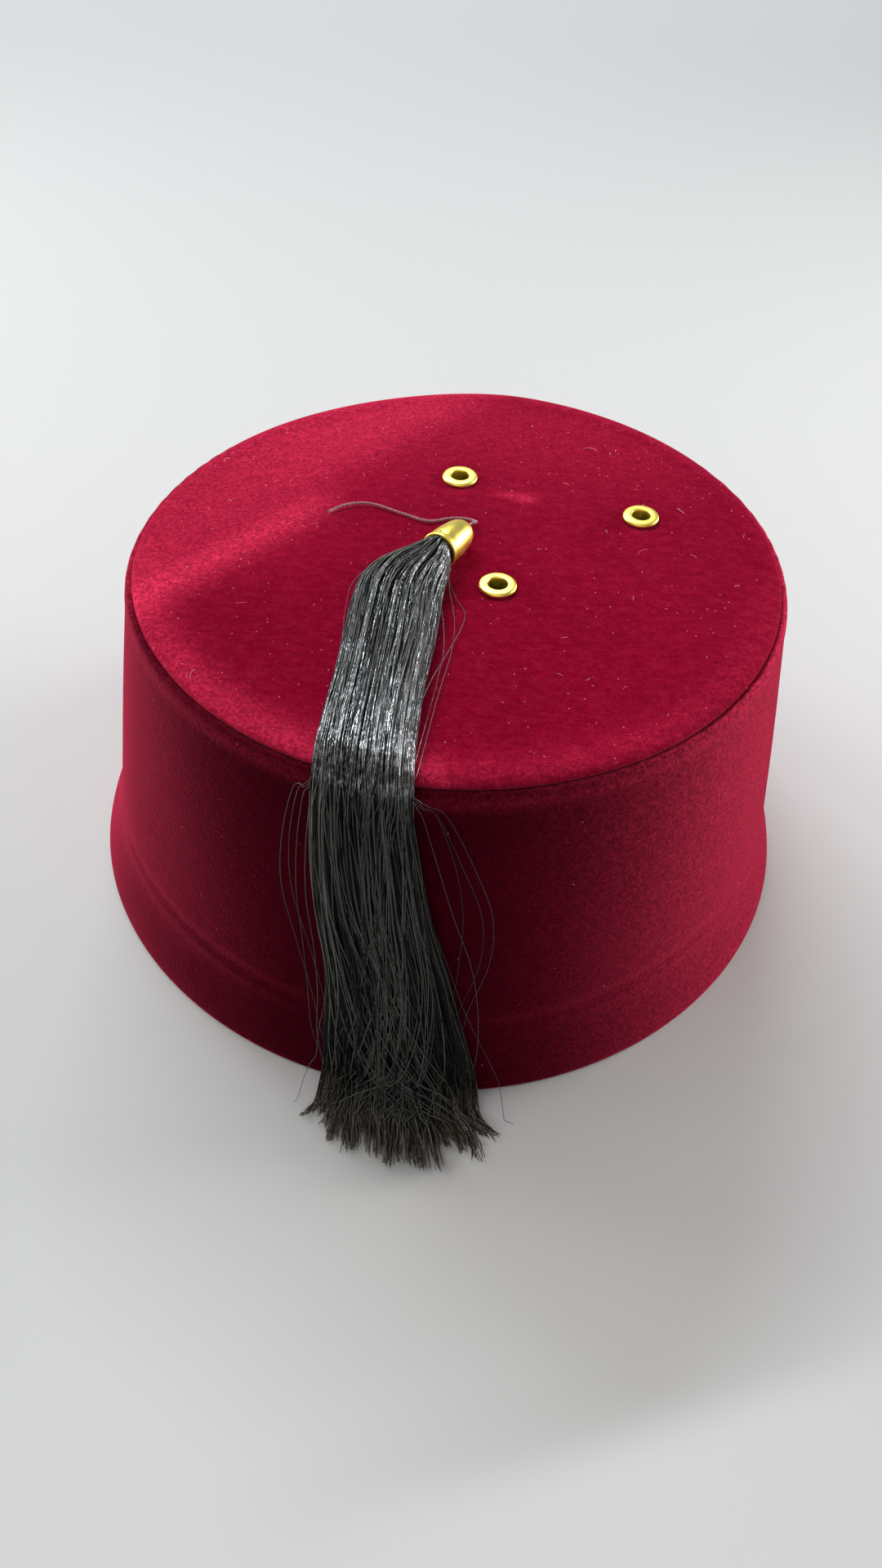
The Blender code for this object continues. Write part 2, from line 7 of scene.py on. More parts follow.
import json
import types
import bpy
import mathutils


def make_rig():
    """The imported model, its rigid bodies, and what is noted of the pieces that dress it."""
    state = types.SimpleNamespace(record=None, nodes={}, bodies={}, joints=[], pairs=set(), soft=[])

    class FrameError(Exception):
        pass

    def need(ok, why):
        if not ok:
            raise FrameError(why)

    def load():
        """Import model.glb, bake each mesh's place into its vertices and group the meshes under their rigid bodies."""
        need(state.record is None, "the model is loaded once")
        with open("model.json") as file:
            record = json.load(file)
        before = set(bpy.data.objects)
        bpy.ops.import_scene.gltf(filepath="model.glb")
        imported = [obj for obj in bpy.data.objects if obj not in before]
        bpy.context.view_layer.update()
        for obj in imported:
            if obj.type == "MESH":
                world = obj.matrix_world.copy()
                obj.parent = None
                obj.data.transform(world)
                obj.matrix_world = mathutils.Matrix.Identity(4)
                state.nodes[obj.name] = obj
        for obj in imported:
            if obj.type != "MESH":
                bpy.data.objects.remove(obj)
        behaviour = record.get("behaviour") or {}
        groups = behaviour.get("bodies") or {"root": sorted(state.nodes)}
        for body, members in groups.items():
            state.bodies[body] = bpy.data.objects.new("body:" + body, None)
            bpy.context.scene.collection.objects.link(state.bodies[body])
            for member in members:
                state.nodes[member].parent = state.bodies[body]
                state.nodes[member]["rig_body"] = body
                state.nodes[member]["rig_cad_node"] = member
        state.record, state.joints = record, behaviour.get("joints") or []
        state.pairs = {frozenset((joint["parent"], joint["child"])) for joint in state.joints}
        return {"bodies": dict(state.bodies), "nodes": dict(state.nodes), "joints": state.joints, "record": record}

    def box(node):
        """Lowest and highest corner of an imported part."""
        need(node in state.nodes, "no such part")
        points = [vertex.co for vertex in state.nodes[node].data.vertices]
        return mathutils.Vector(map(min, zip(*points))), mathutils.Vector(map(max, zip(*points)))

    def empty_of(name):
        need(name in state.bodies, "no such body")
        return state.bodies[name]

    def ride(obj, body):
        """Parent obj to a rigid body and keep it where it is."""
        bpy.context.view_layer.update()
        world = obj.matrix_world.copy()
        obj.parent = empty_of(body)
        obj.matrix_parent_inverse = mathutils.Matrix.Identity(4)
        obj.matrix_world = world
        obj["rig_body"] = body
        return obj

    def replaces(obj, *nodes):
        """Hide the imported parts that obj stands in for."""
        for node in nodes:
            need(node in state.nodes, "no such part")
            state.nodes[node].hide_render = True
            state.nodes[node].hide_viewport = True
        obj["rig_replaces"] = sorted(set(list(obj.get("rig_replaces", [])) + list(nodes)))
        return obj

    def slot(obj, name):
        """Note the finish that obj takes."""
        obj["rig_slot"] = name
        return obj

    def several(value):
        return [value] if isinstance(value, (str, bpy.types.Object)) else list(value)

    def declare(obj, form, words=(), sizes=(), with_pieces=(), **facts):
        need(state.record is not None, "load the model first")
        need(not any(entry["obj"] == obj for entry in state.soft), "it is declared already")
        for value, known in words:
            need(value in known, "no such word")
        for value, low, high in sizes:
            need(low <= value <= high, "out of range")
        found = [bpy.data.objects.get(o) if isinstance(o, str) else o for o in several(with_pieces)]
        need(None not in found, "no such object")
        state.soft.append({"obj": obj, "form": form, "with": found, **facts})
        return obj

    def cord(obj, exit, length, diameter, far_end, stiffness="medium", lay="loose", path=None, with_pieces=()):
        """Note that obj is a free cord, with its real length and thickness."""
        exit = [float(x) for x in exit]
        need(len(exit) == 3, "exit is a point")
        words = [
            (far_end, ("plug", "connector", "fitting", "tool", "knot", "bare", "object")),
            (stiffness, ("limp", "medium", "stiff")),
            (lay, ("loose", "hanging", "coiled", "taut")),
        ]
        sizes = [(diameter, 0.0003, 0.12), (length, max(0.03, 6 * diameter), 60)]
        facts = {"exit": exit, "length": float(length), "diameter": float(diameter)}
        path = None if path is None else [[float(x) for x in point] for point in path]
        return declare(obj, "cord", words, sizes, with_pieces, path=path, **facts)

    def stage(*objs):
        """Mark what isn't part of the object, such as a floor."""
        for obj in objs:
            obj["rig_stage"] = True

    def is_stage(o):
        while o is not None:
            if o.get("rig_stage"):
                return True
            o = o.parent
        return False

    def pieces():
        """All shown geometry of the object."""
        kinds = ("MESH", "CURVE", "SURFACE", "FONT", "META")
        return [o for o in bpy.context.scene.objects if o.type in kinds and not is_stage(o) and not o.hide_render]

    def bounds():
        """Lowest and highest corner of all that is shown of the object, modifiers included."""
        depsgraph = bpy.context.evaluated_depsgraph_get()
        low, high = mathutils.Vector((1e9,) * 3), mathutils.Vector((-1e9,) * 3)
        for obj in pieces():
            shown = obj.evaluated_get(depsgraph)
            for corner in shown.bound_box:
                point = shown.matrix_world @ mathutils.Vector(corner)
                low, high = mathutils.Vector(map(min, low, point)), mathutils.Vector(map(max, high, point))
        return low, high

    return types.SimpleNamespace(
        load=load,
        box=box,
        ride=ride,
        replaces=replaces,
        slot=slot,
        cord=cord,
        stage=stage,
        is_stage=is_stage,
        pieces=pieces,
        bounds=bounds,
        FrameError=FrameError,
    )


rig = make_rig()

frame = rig.load()

import json
import math

import bpy
import numpy as np
from mathutils import Matrix, Vector

bl_info = {
    "name": "Velvet Fez",
    "version": (1, 0, 0),
    "blender": (4, 5, 0),
    "location": "View3D > Sidebar > Fez",
    "description": "Builds the looks of a velvet fez with a fringe tassel round its packed frame",
    "category": "Add Mesh",
}

CAD_LOW, CAD_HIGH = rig.bounds()
BODY = "root"

# Crown, in metres, as its solids have it
WALL_LOW, WALL_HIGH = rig.box("side_wall")
AXIS = Vector((0, (WALL_LOW.y + WALL_HIGH.y) / 2, 0))
GAP = 0.0003
HAT_HEIGHT = 0.0963
RIM_RADIUS = 0.095
FRONT_FLARE = 0.0010
SIDE_FLARE = 0.0032
FLARE_HEIGHT = 0.022
PANEL_RADIUS = 0.0798
PANEL_THICKNESS = 0.0022
PANEL_EDGE = 0.0016
SEAM_RADIUS = PANEL_RADIUS + GAP
SHOULDER_RADIUS = SEAM_RADIUS + 0.0022
SHOULDER_DROP = 0.006
SHOULDER_HEIGHT = HAT_HEIGHT - SHOULDER_DROP
CREST_DROP = 0.0018
SEAM_PRESS = 0.00035
LEDGE_WIDTH = 0.0030
WALL = 0.0024
LEAN = 0.0016
TOP_TILT = math.radians(1.6)
DENT_DEPTH = 0.0024
DENT_START = 0.038
DENT_DIRECTION = math.radians(138)
SETTLING_BAND = 0.030
TOP_PLACE = (
    Matrix.Translation(AXIS + Vector((LEAN, 0, HAT_HEIGHT))) @ Matrix.Rotation(-TOP_TILT, 4, "X")
)

# What the soft crown has beyond its solids
HEM_HEIGHT = 0.0245
FOOT_ROUND = 0.0011
CREST_DIP = 0.0012
PUCKER_COUNT = 74
INNER_SWELL = 0.6
CROWN_SEGMENTS = 288

# Slow waves of the wall: height, number round the hat, start, and turn from foot to shoulder
WALL_WAVES = ((0.00045, 3, 0.7, 0), (0.00030, 5, 2.1, 2), (0.00016, 9, 0.0, 4))

# Painted sheen on the wall's pile, to the right and to the left of the front where light falls: how much, then in
# degrees round from the front where it starts, how long it rises, where it fades and how long, and how much it fades
PAINTED_WALL_SHEEN = ((0.80, 0, 72, 96, 60, 0.84), (0.66, 60, 32, 104, 56, 0.81))

# Paler spots on the top: x, y, half the width and half the depth
PALE_SPOTS = ((0.0135, 0.0262, 0.0040, 0.0016), (0.0175, 0.0246, 0.0026, 0.0018))

# Eyelets: where each stands on the top face, and the bore that the top gets for it
EYELET_HOLE = 0.00235
EYELET_FLANGE = 0.00465
EYELET_RISE = 0.0008
EYELET_PLACES = {
    "eyelet_back": (-0.0003, 0.0335),
    "eyelet_right": (0.0469, 0.0189),
    "eyelet_front": (0.0099, -0.0129),
}
BORE_SIDES = 32
BORE_CLEARANCE = 0.0006
BORE_REACH = 0.006

# Bell cap
CAP_LENGTH = 0.0130
CAP_MOUTH = 0.0047
CAP_SHELL = 0.0008
CAP_THROAT = CAP_MOUTH * 0.925 - CAP_SHELL
CAP_CORD_HOLE = 0.0007
CAP_PLACE = (-0.0048, -0.0064)
CAP_MOUTH_MIDDLE = Vector((*CAP_PLACE, CAP_MOUTH + GAP))
CAP_TURN = math.radians(60.8)
CAP_DIP = math.radians(4.5)

# Cord: its width, the length of a turn and the place and radius of a ply as shares of that width,
# and its route on the top face as x, y and height
CORD_DIAMETER = 0.0008
CORD_TURN = 2.1
PLY_OFFSET = 0.23
PLY_RADIUS = 0.27
CORD_ROUTE = (
    (0.00166, 0.00519, 0.00398),
    (0.00290, 0.00742, 0.00372),
    (0.00392, 0.00930, 0.00290),
    (0.00425, 0.01110, 0.00185),
    (0.00345, 0.01275, 0.00110),
    (0.00170, 0.01375, 0.00076),
    (-0.00060, 0.01400, 0.00072),
    (-0.00310, 0.01345, 0.00072),
    (-0.00550, 0.01255, 0.00072),
    (-0.00780, 0.01210, 0.00072),
    (-0.01040, 0.01280, 0.00072),
    (-0.01310, 0.01420, 0.00072),
    (-0.01590, 0.01550, 0.00072),
    (-0.01880, 0.01700, 0.00072),
    (-0.02180, 0.01830, 0.00072),
    (-0.02460, 0.01880, 0.00072),
    (-0.02740, 0.01840, 0.00072),
    (-0.03010, 0.01730, 0.00072),
    (-0.03200, 0.01580, 0.00072),
    (-0.03360, 0.01410, 0.00072),
)

# Fringe
FRINGE_HALF_WIDTH = 0.0105
FRINGE_FOOT_HALF_WIDTH = 0.0210
FRINGE_TIP_HALF_WIDTH = 0.0245
FRINGE_THICKNESS = 0.0056
FRINGE_HEAD_DEPTH = 0.0060
FRINGE_EDGE_X = -0.0178
FRINGE_FOOT_X = -0.0072
FRINGE_TIP_X = -0.0055
FRINGE_REACH = 0.1170
FRINGE_LAY = 0.0105
EDGE_CLEARANCE = 0.0009
FOOT_BEND = 0.0100
EDGE_START = PANEL_RADIUS - PANEL_EDGE / 2

# The fringe over the top: shares of the way forward and sideways, of its width and thickness,
# the turn of the section, the height under it as a share of the mouth, and the depth between locks
OVER_TOP = (
    (0.035, 0.16, 0.50, 1.12, -0.58, 0.16, 0.10),
    (0.075, 0.36, 0.70, 1.08, -0.50, 0.08, 0.16),
    (0.125, 0.54, 0.86, 1.02, -0.38, 0.06, 0.20),
    (0.200, 0.66, 0.97, 1.00, -0.24, 0.06, 0.22),
    (0.310, 0.72, 1.00, 0.98, -0.11, 0.06, 0.24),
    (0.460, 0.78, 1.00, 0.95, 0.00, 0.06, 0.24),
    (0.650, 0.87, 0.96, 0.95, 0.00, 0.06, 0.24),
    (0.840, 0.95, 0.98, 0.98, 0.00, 0.06, 0.24),
)

# The fringe down the wall: share of the shoulder's height, shares of the way to the foot's place and
# width, share of the thickness, clearance and depth between locks
DOWN_WALL = (
    (0.84, 0.10, 0.18, 0.94, 0.0008, 0.26),
    (0.67, 0.28, 0.28, 0.90, 0.0006, 0.28),
    (0.50, 0.57, 0.38, 0.86, 0.0004, 0.30),
    (0.34, 0.76, 0.52, 0.84, 0.0004, 0.32),
    (0.20, 0.88, 0.72, 0.80, 0.0005, 0.34),
)
LOCK_EDGES = (0.0, 0.09, 0.20, 0.32, 0.44, 0.55, 0.67, 0.79, 0.91, 1.0)
TIP_GROUPS = 23
LOCK_REACHES = (0.24, 0.58, 0.80, 1.0, 0.88, 0.97, 0.78, 0.66, 0.32)

# Strands: bundles, taper at the ends, the slow waves of each strand (number along it, reach sideways),
# and the share of strands that cross over the others, with where they start and how long they take
BUNDLES = 5
STRAND_TAPER = 0.25
DRIFT_WAVES = ((1.2, 0.10), (2.6, 0.065), (5.5, 0.030), (9.0, 0.012))
CROSSING_SHARE = 0.09
CROSSING_START = (0.47, 0.68)
CROSSING_LENGTH = (0.26, 0.45)
END_CUT = 0.0042
LONGEST_CUT = 0.030

# Where the strands lie flat and shine: the line where they turn over the edge, and the heights from
# which they are uneven and lustrous
BEND_Y = -0.073
LYING_HEIGHT = HAT_HEIGHT - 0.002
LUSTRE_HEIGHT = HAT_HEIGHT + 0.0012
UNEVENNESS = 0.00042

# Strays: width as a share of a strand's, and for each, as shares of the course, where it leaves, stands
# furthest off and rejoins, then how far off that is and its own side
STRAY_WIDTH = 0.6
STRAY_ROUTES = (
    (0.465, 0.65, 0.80, -1.58, -0.93),
    (0.47, 0.64, 0.77, -1.44, -0.93),
    (0.46, 0.69, 0.85, -1.34, -0.94),
    (0.53, 0.68, 0.90, -1.18, -0.95),
    (0.465, 0.65, 0.765, 1.98, 0.88),
    (0.475, 0.655, 0.75, 1.80, 0.88),
    (0.47, 0.63, 0.74, 1.58, 0.90),
    (0.46, 0.69, 0.83, 1.36, 0.93),
    (0.62, 0.88, 1.00, 1.30, 0.96),
    (0.66, 0.92, 1.00, -1.22, -0.96),
    (0.12, 0.24, 0.40, 1.55, 0.90),
    (0.10, 0.30, 0.50, 1.34, 0.94),
    (0.20, 0.33, 0.46, 1.20, 0.90),
    (0.10, 0.22, 0.36, -1.14, -0.94),
)

# Colours of fine detail
SHEEN_TINT = (1.0, 0.07, 0.15, 1.0)
LINT_SPECK = (0.80, 0.30, 0.36)
LINT_FIBRES = ((0.62, 0.12, 0.20), (0.80, 0.45, 0.48))
# Added to a strand's colour: a few paler strands, and a painted highlight on the loose strands that lie over the
# others
PALE_AND_LIT_STRAND = (0.100, 0.098, 0.086)
LUSTRE_TINT = (0.86, 0.93, 1.0, 1.0)
PALE_THREAD = (0.55, 0.20, 0.26)
SURROUNDINGS = (0.80, 0.81, 0.83, 1.0)
KEY_TINT = (0.88, 0.94, 1.0)

# Loose fibres: their radius, and the part of the top that the fringe keeps free of them
LINT_RADIUS = 0.00004
LINT_FREE_X = (-0.034, 0.002)
LINT_FREE_Y = 0.004

# Start of each run of random numbers
FRINGE_SEED = 41
LINT_SEED = 7

# Stage: places and sizes in metres, powers in watts, spreads in degrees
FLOOR_HALF = 6.0
LIT_HEIGHT = 0.06
KEY_PLACE = (-0.45, 1.29, 1.47)
KEY_SIZE = (1.35, 0.10)
RIM_LIGHTS = (
    ("rim_right", (0.85, 0.35, 0.20), 1.85),
    ("rim_left", (-0.80, 0.45, 0.20), 1.15),
)
RIM_SIZE = (0.5, 0.2)
RIM_SPREAD = 70
OVERHEAD_PLACE = (-0.75, 0.30, 1.3)
OVERHEAD_SPREAD = 60
FILL_PLACE = (-0.25, -1.3, 0.75)
FILL_SIZE = (1.7, 0.8)
FILL_POWER = 5.2

# Camera, read from the photograph's perspective, relative to the middle of the hat's foot
CAMERA_DISTANCE = 0.400
CAMERA_ELEVATION = 0.847
CAMERA_TARGET_HEIGHT = 0.011
CAMERA_ROLL = 0.046
CAMERA_LENS = 30.32


def colour_setting(name, description, default):
    return bpy.props.FloatVectorProperty(
        name=name, description=description, subtype="COLOR", default=default, min=0, max=1
    )


class FezVelvetSettings(bpy.types.PropertyGroup):
    """Velvet of the crown."""

    top_colour: colour_setting("Top colour", "Pile of the top panel", (0.20, 0.0008, 0.016))
    # Painted shade: the wall is the same velvet as the top, given a darker colour for the shade that its sides are in
    shaded_wall_colour: colour_setting(
        "Wall colour", "Pile of the wall, which lies the other way", (0.045, 0.0006, 0.0050)
    )
    # Painted sheen: paler pile colour where the light catches the pile of the wall and the top, also used for paler
    # spots on the top
    painted_sheen_and_spots_colour: colour_setting(
        "Brushed colour", "Pile that is rubbed or lies against the light", (0.68, 0.030, 0.085)
    )
    lint_count: bpy.props.IntProperty(
        name="Lint", description="Loose fibres that lie on the top", default=48, min=0, max=400,
    )


class FezMetalSettings(bpy.types.PropertyGroup):
    """Gold of the eyelets and the cap."""

    colour: colour_setting("Gold", "Colour of the polished metal", (1.0, 0.83, 0.18))
    segments: bpy.props.IntProperty(
        name="Segments", description="Sides of each turned metal piece", default=72, min=24, max=160,
    )


class FezTasselSettings(bpy.types.PropertyGroup):
    """Strands of the fringe and the cord."""

    strands: bpy.props.IntProperty(
        name="Strands", description="Strands of the fringe", default=940, min=100, max=2400,
    )
    strand_radius: bpy.props.FloatProperty(
        name="Strand radius", description="Half the width of one strand", default=0.00016,
        min=0.00005, max=0.0005, precision=5, unit="LENGTH",
    )
    colour: colour_setting("Strand colour", "Black of the fringe", (0.0035, 0.0035, 0.0042))
    tip_colour: colour_setting("Tip colour", "Browner ends of the strands", (0.100, 0.078, 0.052))
    cord_colour: colour_setting("Cord colour", "Maroon of the thin cord", (0.17, 0.030, 0.060))


class FezStageSettings(bpy.types.PropertyGroup):
    """Floor and light."""

    floor_colour: colour_setting("Floor", "Pale floor under the hat", (0.50, 0.493, 0.482))
    key_power: bpy.props.FloatProperty(
        name="Key light", description="Power of the soft light behind and above", default=31.0,
        min=0, unit="POWER",
    )
    sky_strength: bpy.props.FloatProperty(
        name="Overhead", description="Strength of the wide soft light from above", default=0.98, min=0,
    )
    world_strength: bpy.props.FloatProperty(
        name="Ambient", description="Strength of the grey surroundings", default=0.34, min=0,
    )


def mix(first, second, share):
    return first + (second - first) * share


def smooth(share):
    share = np.clip(share, 0.0, 1.0)
    return share * share * (3 - 2 * share)


def ramp(value, start, length):
    """Smoothly from 0 at start to 1 a length further on."""
    return smooth((value - start) / length)


def bump_at(value, middle, width):
    """A smooth hump of height 1 at middle, gone at a distance of about two widths."""
    return np.exp(-(((value - middle) / width) ** 2))


def settled(x, y, z):
    """Where points of the true upright crown lie on the soft one, in the shared frame."""
    towards = x * math.cos(DENT_DIRECTION) + y * math.sin(DENT_DIRECTION)
    sunk = DENT_DEPTH * ramp(towards, DENT_START, PANEL_RADIUS - DENT_START)
    near_top = ramp(z, SHOULDER_HEIGHT - SETTLING_BAND, SETTLING_BAND)
    height = z / HAT_HEIGHT
    low = z - math.tan(TOP_TILT) * y * height - sunk * near_top
    return np.stack([x + LEAN * height, y + AXIS.y, low], axis=-1)


def moved(points, matrix):
    return points @ np.array(matrix.to_3x3()).T + np.array(matrix.translation)


def on_top(x, y, above):
    """Points given in the top face's own axes, in the shared frame."""
    return moved(np.stack(np.broadcast_arrays(x, y, above), axis=-1), TOP_PLACE)


def unit(vectors):
    return vectors / (np.linalg.norm(vectors, axis=-1, keepdims=True) + 1e-12)


def circle(sides):
    """That many even turns round a circle, in radians."""
    return math.tau * np.arange(sides) / sides


def wall_radius(height, angle):
    """Outer radius of the wall under its shoulder. The foot flares, most at the two sides."""
    cone = mix(RIM_RADIUS, SHOULDER_RADIUS, height / SHOULDER_HEIGHT)
    flare = mix(FRONT_FLARE, SIDE_FLARE, np.cos(angle) ** 4)
    return cone + flare * smooth(1 - height / FLARE_HEIGHT)


def add_object(name, data):
    piece = bpy.data.objects.new(name, data)
    bpy.context.scene.collection.objects.link(piece)
    return piece


def make_mesh(name, points, faces, material, shares=None):
    """A smooth mesh object from arrays. shares are named values at each point, for its material."""
    mesh = bpy.data.meshes.new(name)
    mesh.from_pydata(np.asarray(points).reshape(-1, 3).tolist(), [], faces)
    for share_name, values in (shares or {}).items():
        attribute = mesh.attributes.new(share_name, "FLOAT", "POINT")
        attribute.data.foreach_set("value", np.asarray(values, np.float32).ravel())
    mesh.materials.append(material)
    mesh.shade_smooth()
    return add_object(name, mesh)


def seat(piece, slot, *nodes):
    """The piece rides on the hat, takes its finish from that slot, and stands for those nodes."""
    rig.ride(piece, BODY)
    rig.slot(piece, slot)
    if nodes:
        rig.replaces(piece, *nodes)
    return piece


def ring_faces(rows, columns, around):
    """Quads between rows of points. around joins the last row to the first as well."""
    faces = []
    for row in range(rows if around else rows - 1):
        first, second = row * columns, (row + 1) % rows * columns
        for i in range(columns):
            j = (i + 1) % columns
            faces.append((first + i, second + i, second + j, first + j))
    return faces


def smooth_line(points, steps):
    """Points on a smooth curve through lines of points (..., count, 3), steps to each stretch."""
    before = np.concatenate([2 * points[..., :1, :] - points[..., 1:2, :], points[..., :-1, :]], -2)
    after = np.concatenate([points[..., 1:, :], 2 * points[..., -1:, :] - points[..., -2:-1, :]], -2)
    start, end = points[..., :-1, :], points[..., 1:, :]
    before, after = before[..., :-1, :], after[..., 1:, :]
    found = []
    for step in range(steps):
        t = step / steps
        point = 2 * start + (end - before) * t
        point = point + (2 * before - 5 * start + 4 * end - after) * t * t
        point = point + (3 * start - before - 3 * end + after) * t**3
        found.append(point / 2)
    line = np.stack(found, axis=-2).reshape(*points.shape[:-2], -1, 3)
    return np.concatenate([line, points[..., -1:, :]], axis=-2)


def tube_arrays(lines, radii, sides):
    """Closed tubes round lines of points (tubes, count, 3): their points and their faces."""
    tubes, count = lines.shape[:2]
    along = unit(np.gradient(lines, axis=1))
    first = unit(np.cross(along, np.array([0.83, 0.31, 0.46])))
    second = np.cross(along, first)
    turns = circle(sides)
    ring = np.cos(turns)[:, None] * first[:, :, None] + np.sin(turns)[:, None] * second[:, :, None]
    points = lines[:, :, None] + ring * np.broadcast_to(radii, (tubes, count))[:, :, None, None]
    start = np.arange(tubes)[:, None, None] * count * sides + np.arange(count - 1)[:, None] * sides
    side = np.arange(sides)
    other = (side + 1) % sides
    quads = np.stack(
        [start + side, start + other, start + sides + other, start + sides + side], axis=-1
    ).reshape(-1, 4)
    begin = np.arange(tubes)[:, None] * count * sides
    caps = [*(begin + side[::-1]).tolist(), *(begin + (count - 1) * sides + side).tolist()]
    return points, quads.tolist() + caps


class Shader:
    """Node tree of a material or group, with short calls to add and join nodes."""

    def __init__(self, tree):
        self.tree = tree

    def add(self, kind, **settings):
        node = self.tree.nodes.new(kind)
        for name, value in settings.items():
            setattr(node, name, value)
        return node

    def join(self, output, target):
        self.tree.links.new(output, target)

    def put(self, value, target):
        """Joins an output to the target, or sets a number or a colour on it."""
        if isinstance(value, bpy.types.NodeSocket):
            self.join(value, target)
        else:
            target.default_value = (*value, 1.0) if isinstance(value, tuple) else value

    def noise(self, vector, scale, detail, rough, distortion=0.0):
        node = self.add("ShaderNodeTexNoise")
        self.join(vector, node.inputs["Vector"])
        node.inputs["Scale"].default_value = scale
        node.inputs["Detail"].default_value = detail
        node.inputs["Roughness"].default_value = rough
        node.inputs["Distortion"].default_value = distortion
        return node.outputs["Fac"]

    def span(self, value, low, high, start=0.0, end=1.0):
        node = self.add("ShaderNodeMapRange")
        self.join(value, node.inputs["Value"])
        for name, number in (("From Min", low), ("From Max", high), ("To Min", start), ("To Max", end)):
            node.inputs[name].default_value = number
        return node.outputs["Result"]

    def calc(self, operation, first, second):
        node = self.add("ShaderNodeMath", operation=operation)
        self.put(first, node.inputs[0])
        self.put(second, node.inputs[1])
        return node.outputs["Value"]

    def blend(self, share, first, second, way="MIX"):
        node = self.add("ShaderNodeMix", data_type="RGBA", blend_type=way)
        colours = [socket for socket in node.inputs if socket.type == "RGBA"]
        for value, socket in zip((share, first, second), (node.inputs["Factor"], *colours)):
            self.put(value, socket)
        return next(out for out in node.outputs if out.type == "RGBA")

    def bump(self, height, target, strength, distance):
        node = self.add("ShaderNodeBump")
        node.inputs["Strength"].default_value = strength
        node.inputs["Distance"].default_value = distance
        self.join(height, node.inputs["Height"])
        self.join(node.outputs["Normal"], target)

    def place(self):
        return self.add("ShaderNodeTexCoord").outputs["Object"]

    def share(self, name):
        return self.add("ShaderNodeAttribute", attribute_name=name).outputs["Fac"]


def new_group(name, inputs, outputs):
    """An empty shader group with float inputs, each with a default, and float outputs."""
    tree = bpy.data.node_groups.new(name, "ShaderNodeTree")
    for socket, default in inputs.items():
        made = tree.interface.new_socket(socket, in_out="INPUT", socket_type="NodeSocketFloat")
        made.default_value = default
    for socket in outputs:
        tree.interface.new_socket(socket, in_out="OUTPUT", socket_type="NodeSocketFloat")
    shader = Shader(tree)
    return shader, shader.add("NodeGroupInput"), shader.add("NodeGroupOutput")


def pile_group():
    """How velvet pile lies: wide patches, paler streaks, the tips' grain and specks of lint."""
    name = "Velvet pile"
    if name in bpy.data.node_groups:
        return bpy.data.node_groups[name]
    shader, given, result = new_group(
        name, {"Patch size": 1.0, "Lint share": 0.5}, ("Patches", "Streaks", "Grain", "Lint")
    )
    place = shader.place()
    sized = shader.add("ShaderNodeVectorMath", operation="SCALE")
    shader.join(place, sized.inputs[0])
    shader.join(given.outputs["Patch size"], sized.inputs["Scale"])
    spot = sized.outputs["Vector"]
    patches = shader.noise(spot, scale=22, detail=3, rough=0.5, distortion=0.3)
    shader.join(shader.span(patches, 0.30, 0.70), result.inputs["Patches"])
    stretched = shader.add("ShaderNodeMapping")
    stretched.inputs["Rotation"].default_value = (0.2, 0.1, 0.6)
    stretched.inputs["Scale"].default_value = (0.7, 1.2, 1.0)
    shader.join(spot, stretched.inputs["Vector"])
    stretched = stretched.outputs["Vector"]
    streaks = shader.noise(stretched, scale=420, detail=5, rough=0.68, distortion=0.3)
    shader.join(shader.span(streaks, 0.42, 0.68), result.inputs["Streaks"])
    coarse = shader.noise(place, scale=1050, detail=4, rough=0.72)
    fine = shader.noise(place, scale=3600, detail=2, rough=0.5)
    shader.join(shader.calc("ADD", coarse, shader.calc("MULTIPLY", fine, 0.6)), result.inputs["Grain"])
    cells = shader.add("ShaderNodeTexVoronoi")
    cells.inputs["Scale"].default_value = 520
    cells.inputs["Randomness"].default_value = 1.0
    shader.join(place, cells.inputs["Vector"])
    close = shader.span(cells.outputs["Distance"], 0.11, 0.05)
    chosen = shader.add("ShaderNodeSeparateColor")
    shader.join(cells.outputs["Color"], chosen.inputs["Color"])
    kept = shader.calc("LESS_THAN", chosen.outputs["Red"], given.outputs["Lint share"])
    shader.join(shader.calc("MULTIPLY", close, kept), result.inputs["Lint"])
    return shader.tree


def new_material(name, **sockets):
    """A material, its shader helper and its Principled BSDF, with those values set on its sockets."""
    material = bpy.data.materials.new(name)
    material.use_nodes = True
    surface = material.node_tree.nodes["Principled BSDF"]
    for socket, value in sockets.items():
        surface.inputs[socket.replace("_", " ")].default_value = value
    return material, Shader(material.node_tree), surface


